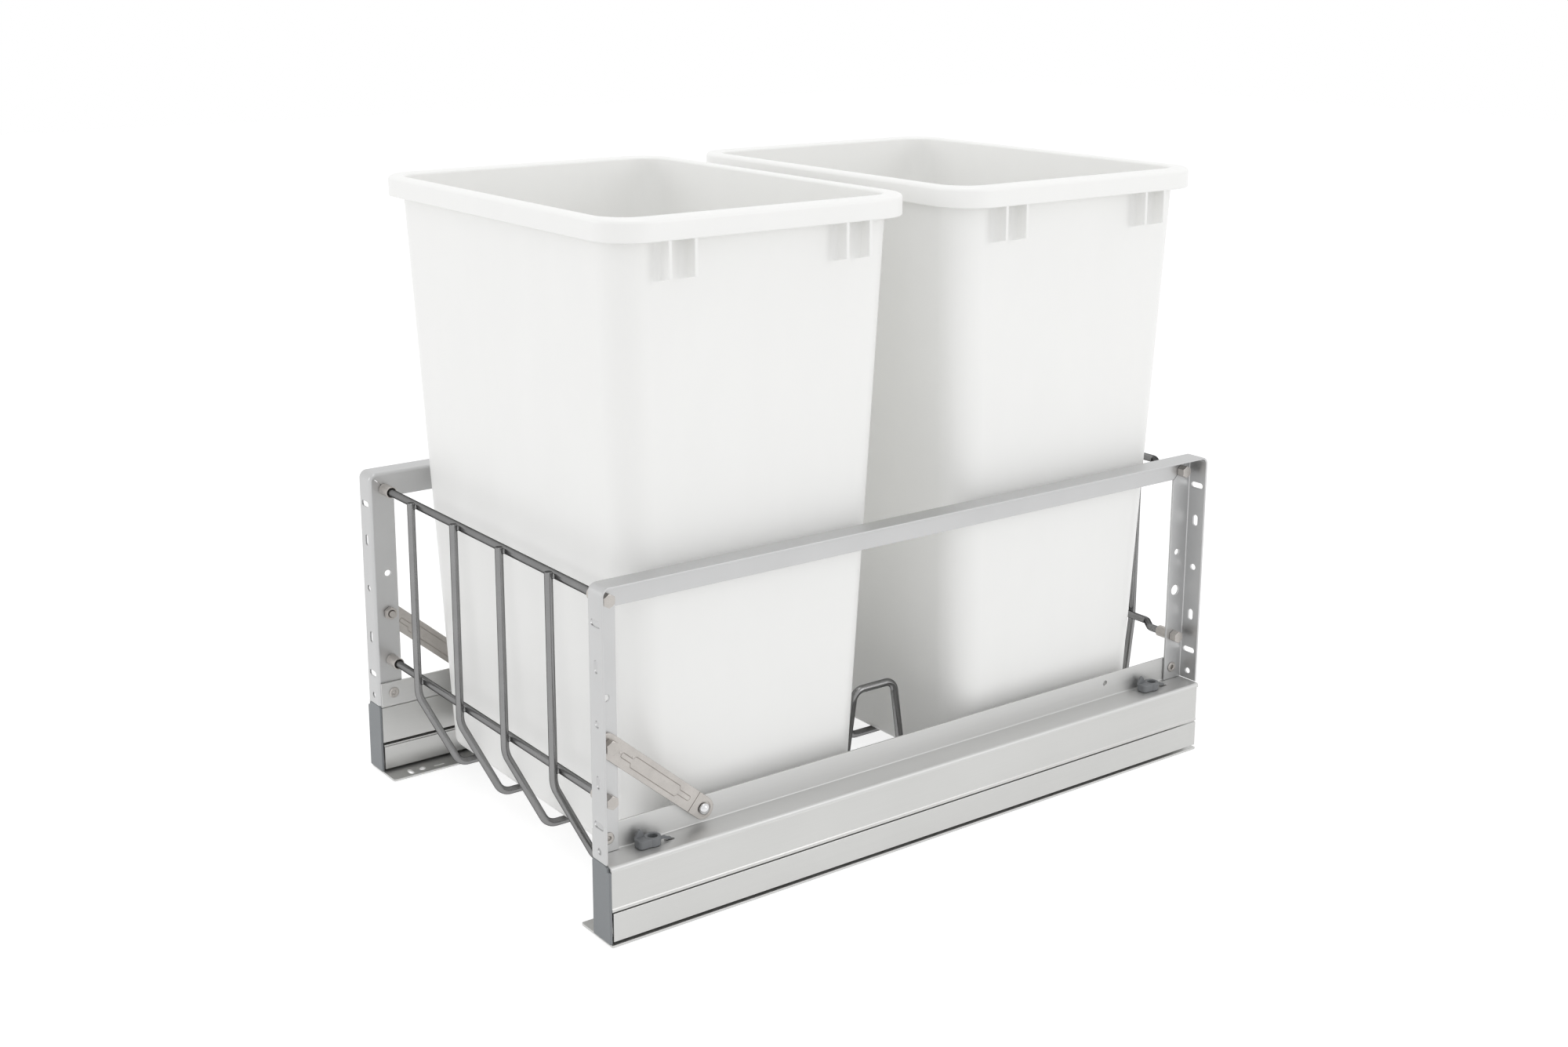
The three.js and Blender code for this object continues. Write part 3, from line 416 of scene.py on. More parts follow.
def satin_aluminium():
    """Satin anodised sheet: a very fine matt grain under soft clouds."""
    shader = Shader("satin_aluminium", (0.56, 0.562, 0.563), 0.36, 0.85)
    clouds = shader.noise((1, 1, 1), 26)
    grain = shader.noise((1, 1, 1), 2600, 2)
    shader.vary_color(clouds, 0.02)
    shader.vary_roughness(grain, 0.3, 0.44)
    shader.add_bump(grain, 0.00003, 0.25)
    return shader.material


def drawn_aluminium():
    """The base rail's sheet: drawn lengthwise, so its grain is in faint streaks."""
    shader = Shader("drawn_aluminium", (0.625, 0.625, 0.618), 0.46, 0.85)
    streaks = shader.noise((1, 0.012, 1), 1500, 3)
    grain = shader.noise((1, 1, 1), 2400, 2)
    shader.vary_color(streaks, 0.025)
    shader.vary_roughness(streaks, 0.4, 0.52)
    shader.add_bump(streaks, 0.00002, 0.2)
    shader.add_bump(grain, 0.00002, 0.2)
    return shader.material


def slide_steel():
    """Rolled and zinc-plated steel of the slides: long streaks and faint cloudy patches."""
    shader = Shader("slide_steel", (0.6, 0.6, 0.588), 0.38, 0.8)
    streaks = shader.noise((1, 0.01, 1), 1100, 4)
    clouds = shader.noise((1, 0.5, 1), 14, 2)
    shader.vary_color(clouds, 0.03)
    shader.vary_roughness(streaks, 0.3, 0.44)
    shader.add_bump(streaks, 0.00002, 0.2)
    return shader.material


def nickel_plate():
    """Warm matt nickel plate on pressed steel."""
    shader = Shader("nickel_plate", (0.505, 0.48, 0.455), 0.36, 0.8)
    clouds = shader.noise((1, 1, 1), 90)
    grain = shader.noise((1, 1, 1), 1900, 2)
    shader.vary_color(clouds, 0.07)
    shader.vary_roughness(grain, 0.26, 0.42)
    shader.add_bump(grain, 0.00005, 0.35)
    return shader.material


def polished_steel():
    """Polished dome and balls, with faint turning marks."""
    shader = Shader("polished_steel", (0.72, 0.72, 0.73), 0.1, 1.0)
    marks = shader.noise((1, 1, 1), 900, 2)
    shader.vary_color(marks, 0.03)
    shader.vary_roughness(marks, 0.07, 0.16)
    return shader.material


def dark_wire():
    """Dark pewter plating on drawn wire: satin and slightly uneven. Its edge reflection is tinted
    nearly black, a painted shade that darkens the wire towards its edges.
    """
    shader = Shader("dark_wire", (0.275, 0.275, 0.275), 0.24, 0.9)
    # Nearly black edge tint: painted shade that darkens the reflections towards the wire's edges.
    shader.surface.inputs["Specular Tint"].default_value = (0.05, 0.05, 0.05, 1)
    clouds = shader.noise((1, 1, 1), 60)
    grain = shader.noise((1, 1, 1), 1600, 2)
    shader.vary_color(clouds, 0.05)
    shader.vary_roughness(clouds, 0.2, 0.28)
    shader.add_bump(grain, 0.00001, 0.15)
    return shader.material


def moulded(name, color, roughness, grain_height):
    """Moulded plastic with a fine eroded grain and faint flow clouds."""
    shader = Shader(name, color, roughness)
    clouds = shader.noise((1, 1, 0.4), 30)
    grain = shader.noise((1, 1, 1), 1500, 2)
    shader.vary_color(clouds, 0.006)
    shader.vary_roughness(grain, roughness - 0.06, roughness + 0.08)
    shader.add_bump(grain, grain_height, 0.35)
    return shader.material


# Finishes: each material with the slot of the record that it stands for.
ALUMINIUM = (satin_aluminium(), "frame_aluminium")
RAIL_SHEET = (drawn_aluminium(), "frame_aluminium")
SLIDE_STEEL = (slide_steel(), "slide_metal")
NICKEL = (nickel_plate(), "nickel")
POLISHED = (polished_steel(), "nickel")
BALL_STEEL = (POLISHED[0], "ball_steel")
DARK_WIRE = (dark_wire(), "dark_wire")
CAP_PLASTIC = (moulded("cap_plastic", (0.22, 0.232, 0.242), 0.5, 0.00006), "cap_plastic")
LEVER_PLASTIC = (moulded("lever_plastic", (0.175, 0.182, 0.19), 0.5, 0.00006), "lever_plastic")
BIN_PLASTIC = (moulded("bin_plastic", (0.93, 0.93, 0.918), 0.36, 0.00002), "bin_plastic")


# ---- pieces ----
def smoothed(piece):
    """Rounds shade smoothly, flat faces stay flat, and edges stay crisp."""
    piece.data.shade_smooth()
    piece.data.set_sharp_from_angle(angle=SMOOTH_ANGLE)
    modifier = piece.modifiers.new("normals", "WEIGHTED_NORMAL")
    modifier.keep_sharp = True
    graph = bpy.context.evaluated_depsgraph_get()
    result = bpy.data.meshes.new_from_object(piece.evaluated_get(graph))
    piece.modifiers.clear()
    piece.data = result


def dress(node, mesh, finish, side="right", at=(0, 0, 0)):
    """Puts a shape in place of a CAD node: moved by at, and mirrored for the left side."""
    material, slot = finish
    copy = mesh.copy()
    place = Matrix.Translation(Vector(at) + Vector((0, MIDDLE_Y, 0)))
    if side == "left":
        place = Matrix.Scale(-1, 4, (1, 0, 0)) @ place
    copy.transform(Matrix.Scale(MM, 4) @ place)
    if side == "left":
        copy.flip_normals()
    copy.materials.clear()
    copy.materials.append(material)
    piece = in_scene(f"{node}_fine", copy)
    smoothed(piece)
    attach(piece, frame["nodes"][node]["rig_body"])
    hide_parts(node)
    return piece


# ---- side frame ----
CORNER_R = 6.0  # outer bend at the two upper corners
FOLD_R = 2.4  # outer fold between flange and web
FOLD_IN_R = 0.8
POST_WEB = 20.0
RAIL_WEB = 19.4
SHEET_EDGE = 0.35
SLIT_WIDTH = 0.5
SLIT_START = 4.5  # from the outer faces
FASTENER_HOLE_R = 2.8
FLANGE_HOLE_X = WEB_X + 9.6
FLANGE_HOLE_WIDTH = 4.5
FLANGE_HOLES = [(220, 0, 11.5), (191, 90, 9), (112, 90, 9), (82, 0, 11.5)]  # height, turn, length
FLANGE_ROUNDS = [(152, 2.5), (64, 2.3)]  # height, radius
WEB_ROUNDS = [(164.5, 2.5), (BRACE_BOLT_Z, 4.2)]


def frame_section():
    """The folded strip's section: (distance from the middle plane, depth from its outer face)."""
    corners = [(FLANGE_TIP, 0), (WEB_X, 0), (WEB_X, POST_WEB)]
    corners += [(WEB_X + SHEET, POST_WEB), (WEB_X + SHEET, SHEET), (FLANGE_TIP, SHEET)]
    edges = [SHEET_EDGE, FOLD_R, SHEET_EDGE, SHEET_EDGE, FOLD_IN_R, SHEET_EDGE]
    return rounded(corners, edges)


def arch_place(depth, angle, end):
    """Y and Z of a depth at a corner's angle; deeper than the bend it stays on the mitre."""
    if depth < CORNER_R:
        reach = CORNER_R - depth
        out = FRAME_HALF - CORNER_R + reach * math.cos(angle)
        return end * out, FRAME_TOP - CORNER_R + reach * math.sin(angle)
    share = (depth - CORNER_R) / (POST_WEB - CORNER_R)
    drop = CORNER_R + share * (RAIL_WEB - CORNER_R)
    return end * (FRAME_HALF - depth), FRAME_TOP - drop


def frame_strip():
    """The strip, bent from one foot over both corners to the other foot."""
    section = frame_section()
    angles = [math.pi / 2 * k / BEND_STEPS for k in range(BEND_STEPS + 1)]
    rings = [[(x, -FRAME_HALF + depth, POST_FOOT) for x, depth in section]]
    rings += [[(x, *arch_place(depth, angle, -1)) for x, depth in section] for angle in angles]
    rings += [[(x, *arch_place(depth, angle, 1)) for x, depth in section] for angle in angles[::-1]]
    rings += [[(x, FRAME_HALF - depth, POST_FOOT) for x, depth in section]]
    return loft(rings)


def mitre_slit(end):
    """The narrow slit along the mitre of the web at an upper corner."""
    start = Vector((end * (FRAME_HALF - SLIT_START), FRAME_TOP - SLIT_START))
    finish = Vector((end * (FRAME_HALF - POST_WEB - PAST), FRAME_TOP - RAIL_WEB - PAST))
    along = (finish - start).normalized()
    aside = Vector((-along.y, along.x)) * SLIT_WIDTH / 2
    outline = [start - aside, start + aside, finish + aside, finish - aside]
    return slab("x", outline, WEB_X - PAST, WEB_X + SHEET + PAST, 0)


def side_frame():
    slit = cut(frame_strip(), mitre_slit(-1), mitre_slit(1))
    tools = []
    for end in (-1, 1):
        low, high = sorted((end * FRAME_HALF, end * (FRAME_HALF - SHEET)))
        for z, turn, length in FLANGE_HOLES:
            hole = slot_outline((FLANGE_HOLE_X, z), length, FLANGE_HOLE_WIDTH, turn)
            tools.append(drill("y", hole, low, high))
        for z, radius in FLANGE_ROUNDS:
            tools.append(drill("y", circle((FLANGE_HOLE_X, z), radius), low, high))
        for z, radius in WEB_ROUNDS:
            hole = circle((end * HARDWARE_Y, z), radius)
            tools.append(drill("x", hole, WEB_X, WEB_X + SHEET))
        for z in (TOP_BAR_Z, LOW_BAR_Z, POST_RIVET_Z):
            hole = circle((end * HARDWARE_Y, z), FASTENER_HOLE_R)
            tools.append(drill("x", hole, WEB_X, WEB_X + SHEET))
    return cut(slit, *tools)


# ---- base rail ----
SHELF_Z = 57.0
LIP_ROUND = 2.2
LEVER_X = (LEVER_LOW.x + LEVER_HIGH.x) / 2
LEVER_Y = 238.0
SPIGOT_HOLE_R = 4.9
BRACE_RIVET_HOLE_R = 2.1
TAIL_SLOT = {"from": 9.5, "length": 7.5, "width": 4.0}


def base_rail():
    """Upstand, shelf and lip in one folded strip, with the levers' openings."""
    out, lip = RAIL_HIGH.x, RAIL_HIGH.x - SHEET
    under = SHELF_Z - SHEET
    corners = [(UPSTAND_IN, RAIL_HIGH.z), (UPSTAND_IN, under), (lip, under), (lip, RAIL_LOW.z)]
    corners += [(out, RAIL_LOW.z), (out, SHELF_Z), (UPSTAND_OUT, SHELF_Z), (UPSTAND_OUT, RAIL_HIGH.z)]
    radii = [SHEET_EDGE, FOLD_R, LIP_ROUND - SHEET, 0.2, SHEET_EDGE, LIP_ROUND, 0.8, SHEET_EDGE]
    half = (RAIL_HIGH.y - RAIL_LOW.y) / 2
    strip = slab("y", rounded(corners, radii), -half, half, edge=0.15)
    tools = []
    for end in (-1, 1):
        y = end * LEVER_Y
        tools.append(drill("z", circle((LEVER_X, y), SPIGOT_HOLE_R), under, SHELF_Z))
        middle = y + TAIL_SLOT["from"] + TAIL_SLOT["length"] / 2
        slot = slot_outline((LEVER_X, middle), TAIL_SLOT["length"], TAIL_SLOT["width"], 90)
        tools.append(drill("z", slot, under, SHELF_Z))
        holes = [circle((end * -BRACE_RIVET.x, BRACE_RIVET.y), BRACE_RIVET_HOLE_R)]
        holes.append(circle((end * HARDWARE_Y, POST_RIVET_Z), FASTENER_HOLE_R))
        tools += [drill("x", hole, UPSTAND_IN, UPSTAND_OUT) for hole in holes]
    return cut(strip, *tools)


# ---- slide ----
RUNNER_X = (TOP_LOW.x + TOP_HIGH.x) / 2
RUNNER_HALF = 1.2
HEAD_HALF = 3.0
HEAD_THICK = 2.0
RUNNER_RADII = [0, 0.4, 0.5, 0.5] * 2
RUNNER_IN = 0.4  # the upper upright starts inside the roof and ends inside the skin
LOW_HEAD_TOP = FOOT_HIGH.z
HIGH_HEAD_TOP = MIDDLE_HIGH.z
SLIDE_WALL = 1.2
SPLIT_HIGH = TOP_LOW.z  # bottom of the top member's skins
SPLIT_LOW = SPLIT_HIGH - 1.0  # top of the middle member's skins
FOOT_THICK = 1.8
FOOT_SLOTS = [(149, 261, 8.7, 3.6, 0), (148, 236.5, 9, 2, 90)]  # x, y, length, width, turn
FOOT_HOLE = {"x": 149.3, "y": 250.8, "radius": 2.5}
SHOULDER_Z = RAIL_LOW.z - GAP
LEDGE = 0.4  # how far the top member's lower bead stands out of its panel
BEAD_HEIGHT, BEAD_SLOPE = 2.0, 0.7
BAND_DROP = 1.4  # the inner skins stop short of the parting line, over a set-back band
BAND_SET = 0.3  # how far that band is set back


def runner_corners(base, top):
    """An upright with a flat head."""
    x = RUNNER_X
    right = [(x + RUNNER_HALF, base), (x + RUNNER_HALF, top - HEAD_THICK)]
    right += [(x + HEAD_HALF, top - HEAD_THICK), (x + HEAD_HALF, top)]
    left = [(2 * x - a, b) for a, b in reversed(right)]
    return right + left


def foot_rail():
    """Foot plate with its fixing holes, and the upright that the lower balls run on."""
    half = (FOOT_HIGH.y - FOOT_LOW.y) / 2
    corners = [(FOOT_LOW.x, -half), (FOOT_HIGH.x, -half), (FOOT_HIGH.x, half), (FOOT_LOW.x, half)]
    plate = slab("z", rounded(corners, [1.5, 0.6, 0.6, 1.5]), 0, FOOT_THICK, edge=0.35)
    section = rounded(runner_corners(FOOT_THICK / 2, LOW_HEAD_TOP), RUNNER_RADII)
    upright = slab("y", section, -half + 2.6, half - 0.6)
    tools = []
    for end in (-1, 1):
        for x, y, length, width, turn in FOOT_SLOTS:
            slot = slot_outline((x, end * y), length, width, turn)
            tools.append(drill("z", slot, 0, FOOT_THICK))
        hole = circle((FOOT_HOLE["x"], end * FOOT_HOLE["y"]), FOOT_HOLE["radius"])
        tools.append(drill("z", hole, 0, FOOT_THICK, chamfer=0.4))
    return cut(joined(plate, upright), *tools)


def middle_member():
    """Lower panels on both sides, the roof between them and the upper upright."""
    wall_in = MIDDLE_LOW.x + SLIDE_WALL
    wall_out = MIDDLE_HIGH.x - SLIDE_WALL
    step = SPLIT_LOW - BAND_DROP
    band = wall_in - BAND_SET
    bottom, roof = MIDDLE_LOW.z, SPLIT_LOW - SLIDE_WALL
    corners = [(MIDDLE_LOW.x, bottom), (wall_in, bottom), (wall_in, roof), (wall_out, roof)]
    corners += [(wall_out, bottom), (MIDDLE_HIGH.x, bottom), (MIDDLE_HIGH.x, SPLIT_LOW)]
    corners += [(band, SPLIT_LOW), (band, step + BAND_SET), (MIDDLE_LOW.x, step)]
    radii = [0.3, 0.3, 0.4, 0.4, 0.3, 0.3, 0.5, 0.3, 0, 0.3]
    low, high = MIDDLE_LOW.y - MIDDLE_Y, MIDDLE_HIGH.y - MIDDLE_Y
    skin = slab("y", rounded(corners, radii), low, high, edge=0.2)
    section = rounded(runner_corners(roof + RUNNER_IN, HIGH_HEAD_TOP), RUNNER_RADII)
    return joined(skin, slab("y", section, low + RUNNER_IN, high - RUNNER_IN))


def top_member():
    """Upper panels, with a bead along the outer one's foot, and the roof under the shelf."""
    wall_in = TOP_LOW.x + SLIDE_WALL
    out = TOP_HIGH.x
    face = out - LEDGE
    shoulder = RAIL_HIGH.x - SHEET - GAP
    roof = TOP_HIGH.z
    bead = SPLIT_HIGH + BEAD_HEIGHT
    inner, back = shoulder - SLIDE_WALL, face - SLIDE_WALL
    under = SHOULDER_Z - SLIDE_WALL
    corners = [(TOP_LOW.x, SPLIT_HIGH + BAND_DROP), (wall_in, SPLIT_HIGH + BAND_DROP)]
    corners += [(wall_in, roof - SLIDE_WALL), (inner, roof - SLIDE_WALL), (inner, under)]
    corners += [(back, under), (back, SPLIT_HIGH), (out, SPLIT_HIGH), (out, bead)]
    corners.append((face, bead + BEAD_SLOPE))
    corners += [(face, SHOULDER_Z), (shoulder, SHOULDER_Z), (shoulder, roof), (TOP_LOW.x, roof)]
    radii = [0.3, 0.3, 0.4, 0.4, 0.2, 0.1, 0.2, 0.3, 0.2, 0.1, 0.5, 0.1, 0.5, 0.6]
    half = (TOP_HIGH.y - TOP_LOW.y) / 2
    skin = slab("y", rounded(corners, radii), -half, half, edge=0.15)
    holes = [circle((LEVER_X, end * LEVER_Y), SPIGOT_HOLE_R) for end in (-1, 1)]
    return cut(skin, *[drill("z", hole, roof - SLIDE_WALL, roof) for hole in holes])


BALL_R = 3.7
BALL_OFFSET = 5.3
BALL_PITCH = 25
BALL_REACH = 100
CAGE_HALF = 120
CAGE_SHEET = 0.8
LOWER_CAGE = (5.0, 11.0, 21.4)  # heights of the foot, the balls and the top
UPPER_CAGE = (28.0, 34.0, 43.6)


def ball_cage(bottom, ball_z, top):
    """A folded strip over an upright, with a row of balls in each side."""
    inner, outer = BALL_OFFSET - CAGE_SHEET / 2, BALL_OFFSET + CAGE_SHEET / 2
    right = [(RUNNER_X + inner, bottom), (RUNNER_X + outer, bottom), (RUNNER_X + outer, top)]
    left = [(2 * RUNNER_X - a, b) for a, b in reversed(right)]
    roof = [(RUNNER_X - inner, top - CAGE_SHEET), (RUNNER_X + inner, top - CAGE_SHEET)]
    radii = [0.1, 0.1, 1.2, 1.2, 0.1, 0.1, 0.6, 0.6]
    strip = slab("y", rounded(right + left + roof, radii), -CAGE_HALF, CAGE_HALF, edge=0.05)
    profile = oval(BALL_R, BALL_R, 12)
    balls = []
    for y in range(-BALL_REACH, BALL_REACH + 1, BALL_PITCH):
        for side in (-1, 1):
            ball = turned(profile, sides=20)
            ball.transform(Matrix.Translation((RUNNER_X + side * BALL_OFFSET, y, ball_z)))
            balls.append(ball)
    return merged([strip] + balls)


DAMPER_R, DAMPER_Z, DAMPER_ROD = 4.2, 48.6, 45.0


def damper():
    """A sealed cylinder with crimped ends, its rod and the rod's button."""
    low, high = [corner.y - MIDDLE_Y for corner in box_mm("right_soft_close_damper")]
    mouth = high - DAMPER_ROD
    profile = [(low, 0), (low, 3.4), (low + 0.8, DAMPER_R), (mouth - 6, DAMPER_R)]
    profile += [(mouth - 5.6, 3.8), (mouth - 4.6, 3.8), (mouth - 4.2, DAMPER_R)]
    profile += [(mouth - 0.8, DAMPER_R), (mouth, 3.4)]
    profile += [(mouth, 1.5), (high - 3, 1.5), (high - 3, 2.8), (high - 2.6, 3.2)]
    profile += [(high - 0.4, 3.2), (high, 2.8), (high, 0)]
    return turned(profile, (RUNNER_X, DAMPER_Z), "y", sides=24)


# ---- end cap ----
CAP_STEP = {"x": 178.6, "depth": 3.0, "rise": 1.6}
CAP_NOSE = 0.6
CAP_GAP = 0.4  # under the base rail's lip
PLUG_LOW = 44.5
PLUG_ROOT = 0.7


def end_cap():
    """A thin moulded face on the mouth of the slide, and the plug behind it."""
    shoulder = SHOULDER_Z - CAP_GAP
    step_in = CAP_STEP["x"] - CAP_STEP["depth"]
    top = CAP_HIGH.z
    corners = [(CAP_LOW.x, CAP_LOW.z), (CAP_HIGH.x, CAP_LOW.z), (CAP_HIGH.x, shoulder)]
    corners += [(CAP_STEP["x"], shoulder), (CAP_STEP["x"], top - CAP_STEP["rise"])]
    corners += [(step_in, top), (CAP_LOW.x, top)]
    face = rounded(corners, [0.7, 0.7, 0.7, 0.3, 0.7, 1.0, 2.0])
    front = CAP_LOW.y - MIDDLE_Y
    back = TOP_LOW.y - MIDDLE_Y - 0.05
    plug_top = TOP_HIGH.z - SLIDE_WALL - GAP
    inner, outer = TOP_LOW.x + SLIDE_WALL + GAP, RAIL_HIGH.x - SHEET - SLIDE_WALL - 2 * GAP
    corners = [(inner, PLUG_LOW), (outer, PLUG_LOW), (outer, plug_top), (inner, plug_top)]
    plug = slab("y", rounded(corners, [1] * 4), back - PLUG_ROOT, CAP_HIGH.y - MIDDLE_Y)
    return joined(slab("y", face, front, back, CAP_NOSE, 4), plug)


# ---- release lever ----
BOSS_R = (LEVER_HIGH.x - LEVER_LOW.x) / 2
BORE_R = 3.4
SPIGOT_R = 4.5
LOBE = {"half": 4.8, "length": 12.4, "corner": 2.8, "drop": 0.3}
FIN_THICK = 2.4
FIN_TOP = LEVER_HIGH.z
BOSS_TOP = FIN_TOP - 4.8
LEVER_FLOOR = SHELF_Z + GAP
TAIL_HALF = 1.2


def lever_fin():
    """The leaning thumb fin along the lobe's inner side, as (distance behind the pivot, height)."""
    corners = [(-12.2, BOSS_TOP - 1.4), (-3.6, BOSS_TOP - 1.4), (-4.6, BOSS_TOP)]
    corners += [(-6.2, FIN_TOP - 1.2), (-7.6, FIN_TOP), (-9.2, FIN_TOP - 0.8)]
    outline = rounded(corners, [0, 0, 1.2, 1.2, 0.7, 0.8])
    inner = LEVER_X - LOBE["half"]
    return slab("x", outline, inner, inner + FIN_THICK, edge=0.6, steps=3)


def lever_tail():
    """The spring tail that dips towards the slot behind the boss."""
    top, low = LEVER_FLOOR + 3.2, LEVER_FLOOR + 1.9
    corners = [(4.6, low), (9.2, low - 0.4), (12.4, LEVER_FLOOR + 0.1), (14.6, LEVER_FLOOR + 0.1)]
    corners += [(14.2, LEVER_FLOOR + 1.3), (12.6, LEVER_FLOOR + 1.7), (9.8, top), (4.6, top)]
    outline = rounded(corners, [0, 1.5, 0.6, 0.3, 0.4, 0.8, 1.6, 0])
    return slab("x", outline, LEVER_X - TAIL_HALF, LEVER_X + TAIL_HALF, edge=0.25)


def release_lever():
    """Boss on a hollow spigot, front lobe, thumb fin and spring tail, about a pivot at y 0."""
    half, length, corner = LOBE["half"], LOBE["length"], LOBE["corner"]
    left, right = LEVER_X - half, LEVER_X + half
    corners = [(right, 1), (left, 1), (left, -length), (right, -length)]
    outline = rounded(corners, [0, 0, corner, corner], 8)
    lobe = slab("z", outline, LEVER_FLOOR, BOSS_TOP - LOBE["drop"], edge=0.6, steps=3)
    boss = slab("z", circle((LEVER_X, 0), BOSS_R), LEVER_FLOOR, BOSS_TOP, edge=0.6, steps=3)
    spigot = slab("z", circle((LEVER_X, 0), SPIGOT_R), LEVER_LOW.z, LEVER_FLOOR + PAST)
    whole = joined(boss, lobe, lever_fin(), lever_tail(), spigot)
    return cut(whole, drill("z", circle((LEVER_X, 0), BORE_R), LEVER_LOW.z, BOSS_TOP, chamfer=0.45))


# ---- brace and fasteners ----
BRACE_HALF = 8.0
BRACE_EDGE = 0.5
BRACE_TAIL = 1.5
BRACE_FOLD = 87.0  # of the cross line, from the bolt
BRACE_GROOVE = 0.28  # half width of the pressed line
BRACE_GROOVE_DEPTH = 0.35
BRACE_FOLD_DEPTH = 0.4
BRACE_BUMPS = [(11.2, 0.4), (22.4, 2.7)]  # along and across the brace
BUMP = [(-0.3, 0), (-0.3, 1.2), (0.1, 1.1), (0.4, 0.6), (0.5, 0)]  # height over the face, radius
SINK = {"room": 1.1, "depth": 0.5}  # the flat recess round the rivet's head
PANEL_NARROW = 1.7  # half widths of the pressed outline
PANEL_WIDE = 4.0
PANEL_X = [12.6, 22.8, 71.0, 82.5]
BRACE_HEX = {"flats": 9.0, "height": 5.4}
BAR_HEX = {"flats": 8.4, "height": 6.4}
SHANK_R = 2.5
RIVET_HEAD_R = 4.2
RIVET_RISE = 3.0
HEX_WIDE = 1.05  # of the corners' radius: just outside them
HEX_FLAT = 0.93  # of the width across flats: the flat round on a head's end
HEX_SLOPE = 0.5  # rise of the turned-off corners
HEX_UNDER = 0.1


def on_brace(outline):
    """An outline drawn along the brace from its bolt, turned into place."""
    down = BRACE_RIVET - BRACE_BOLT
    spin = Matrix.Rotation(math.atan2(down.y, down.x), 2)
    return [BRACE_BOLT + spin @ point for point in outline]


def brace_panel():
    """The pressed outline: a narrow neck, a wide field and a narrow tongue."""
    a, b, c, d = PANEL_X
    upper = [(a, PANEL_NARROW), (b, PANEL_NARROW), (b + 1.6, PANEL_WIDE)]
    upper += [(c - 1.6, PANEL_WIDE), (c, PANEL_NARROW), (d, PANEL_NARROW)]
    lower = [(x, -y) for x, y in reversed(upper)]
    radii = [1.2, 0.5, 0.6, 0.6, 0.5, 1.6]
    return rounded(upper + lower, radii + radii[::-1])


def groove(outline, face, outward):
    """A cutting tool for a narrow line pressed into one face of the brace."""
    deep = face - outward * BRACE_GROOVE_DEPTH
    proud = face + outward * BRACE_GROOVE_DEPTH
    outer = on_brace(inset(outline, -BRACE_GROOVE))
    inner = on_brace(inset(outline, BRACE_GROOVE))
    rings = [standing("x", on_brace(outline), deep), standing("x", outer, face)]
    rings += [standing("x", outer, proud), standing("x", inner, proud)]
    rings.append(standing("x", inner, face))
    return loft(rings, loop=True)


def brace():
    length = (BRACE_RIVET - BRACE_BOLT).length
    middle = (length - BRACE_TAIL) / 2
    plate = slot_outline((middle, 0), length + BRACE_TAIL + 2 * BRACE_HALF, 2 * BRACE_HALF)
    body = slab("x", on_brace(plate), BRACE_IN, BRACE_OUT, BRACE_EDGE, 3)
    line = slot_outline((BRACE_FOLD, 0), 2 * BRACE_HALF + 4, 0.6, 90)
    fold = slab("x", on_brace(line), BRACE_OUT - BRACE_FOLD_DEPTH, BRACE_OUT + PAST, 0)
    holes = [circle(centre, FASTENER_HOLE_R) for centre in (BRACE_BOLT, BRACE_RIVET)]
    drills = [drill("x", hole, BRACE_IN, BRACE_OUT) for hole in holes]
    round_rivet = circle(BRACE_RIVET, RIVET_HEAD_R + SINK["room"])
    sink = slab("x", round_rivet, BRACE_OUT - SINK["depth"], BRACE_OUT + PAST, edge=0.2)
    panel = brace_panel()
    body = cut(body, fold, groove(panel, BRACE_OUT, 1), groove(panel, BRACE_IN, -1))
    body = cut(cut(body, sink), *drills)
    bumps = []
    for along, across in BRACE_BUMPS:
        place = on_brace([Vector((along, across))])[0]
        dome = [(BRACE_OUT + height, radius) for height, radius in BUMP]
        bumps.append(turned(dome, place, sides=16))
    return joined(body, *bumps)


def hex_head(low, high, flats, centre, both=False):
    """A hexagon along X with the corners turned off at its outer end, or at both ends."""
    corner = flats / math.sqrt(3)
    turns = [math.radians(60 * k + 30) for k in range(6)]
    outline = [Vector(centre) + corner * Vector((math.cos(t), math.sin(t))) for t in turns]
    prism = slab("x", outline, low, high, 0)
    wide = corner * HEX_WIDE
    flat = flats / 2 * HEX_FLAT
    slope = (wide - flat) * HEX_SLOPE
    cone = [(low, 0), (low, flat), (low + slope, wide)]
    if not both:
        cone = [(low - HEX_UNDER, 0), (low - HEX_UNDER, wide)]
    cone += [(high - slope, wide), (high, flat), (high, 0)]
    return combined("INTERSECT", prism, turned(cone, centre, sides=48))


def bolt(low, size, centre, tip):
    """A bolt along X: its head goes outwards from low, its shank inwards to its tip."""
    head = hex_head(low, low + size["height"], size["flats"], centre)
    return joined(head, slab("x", circle(centre, SHANK_R), tip, low + PAST, edge=0.4))


def brace_nut():
    low, high = box_mm("right_brace_nut")
    body = hex_head(low.x, high.x, BRACE_HEX["flats"], BRACE_BOLT, both=True)
    return cut(body, drill("x", circle(BRACE_BOLT, SHANK_R + GAP), low.x, high.x, chamfer=0.4))


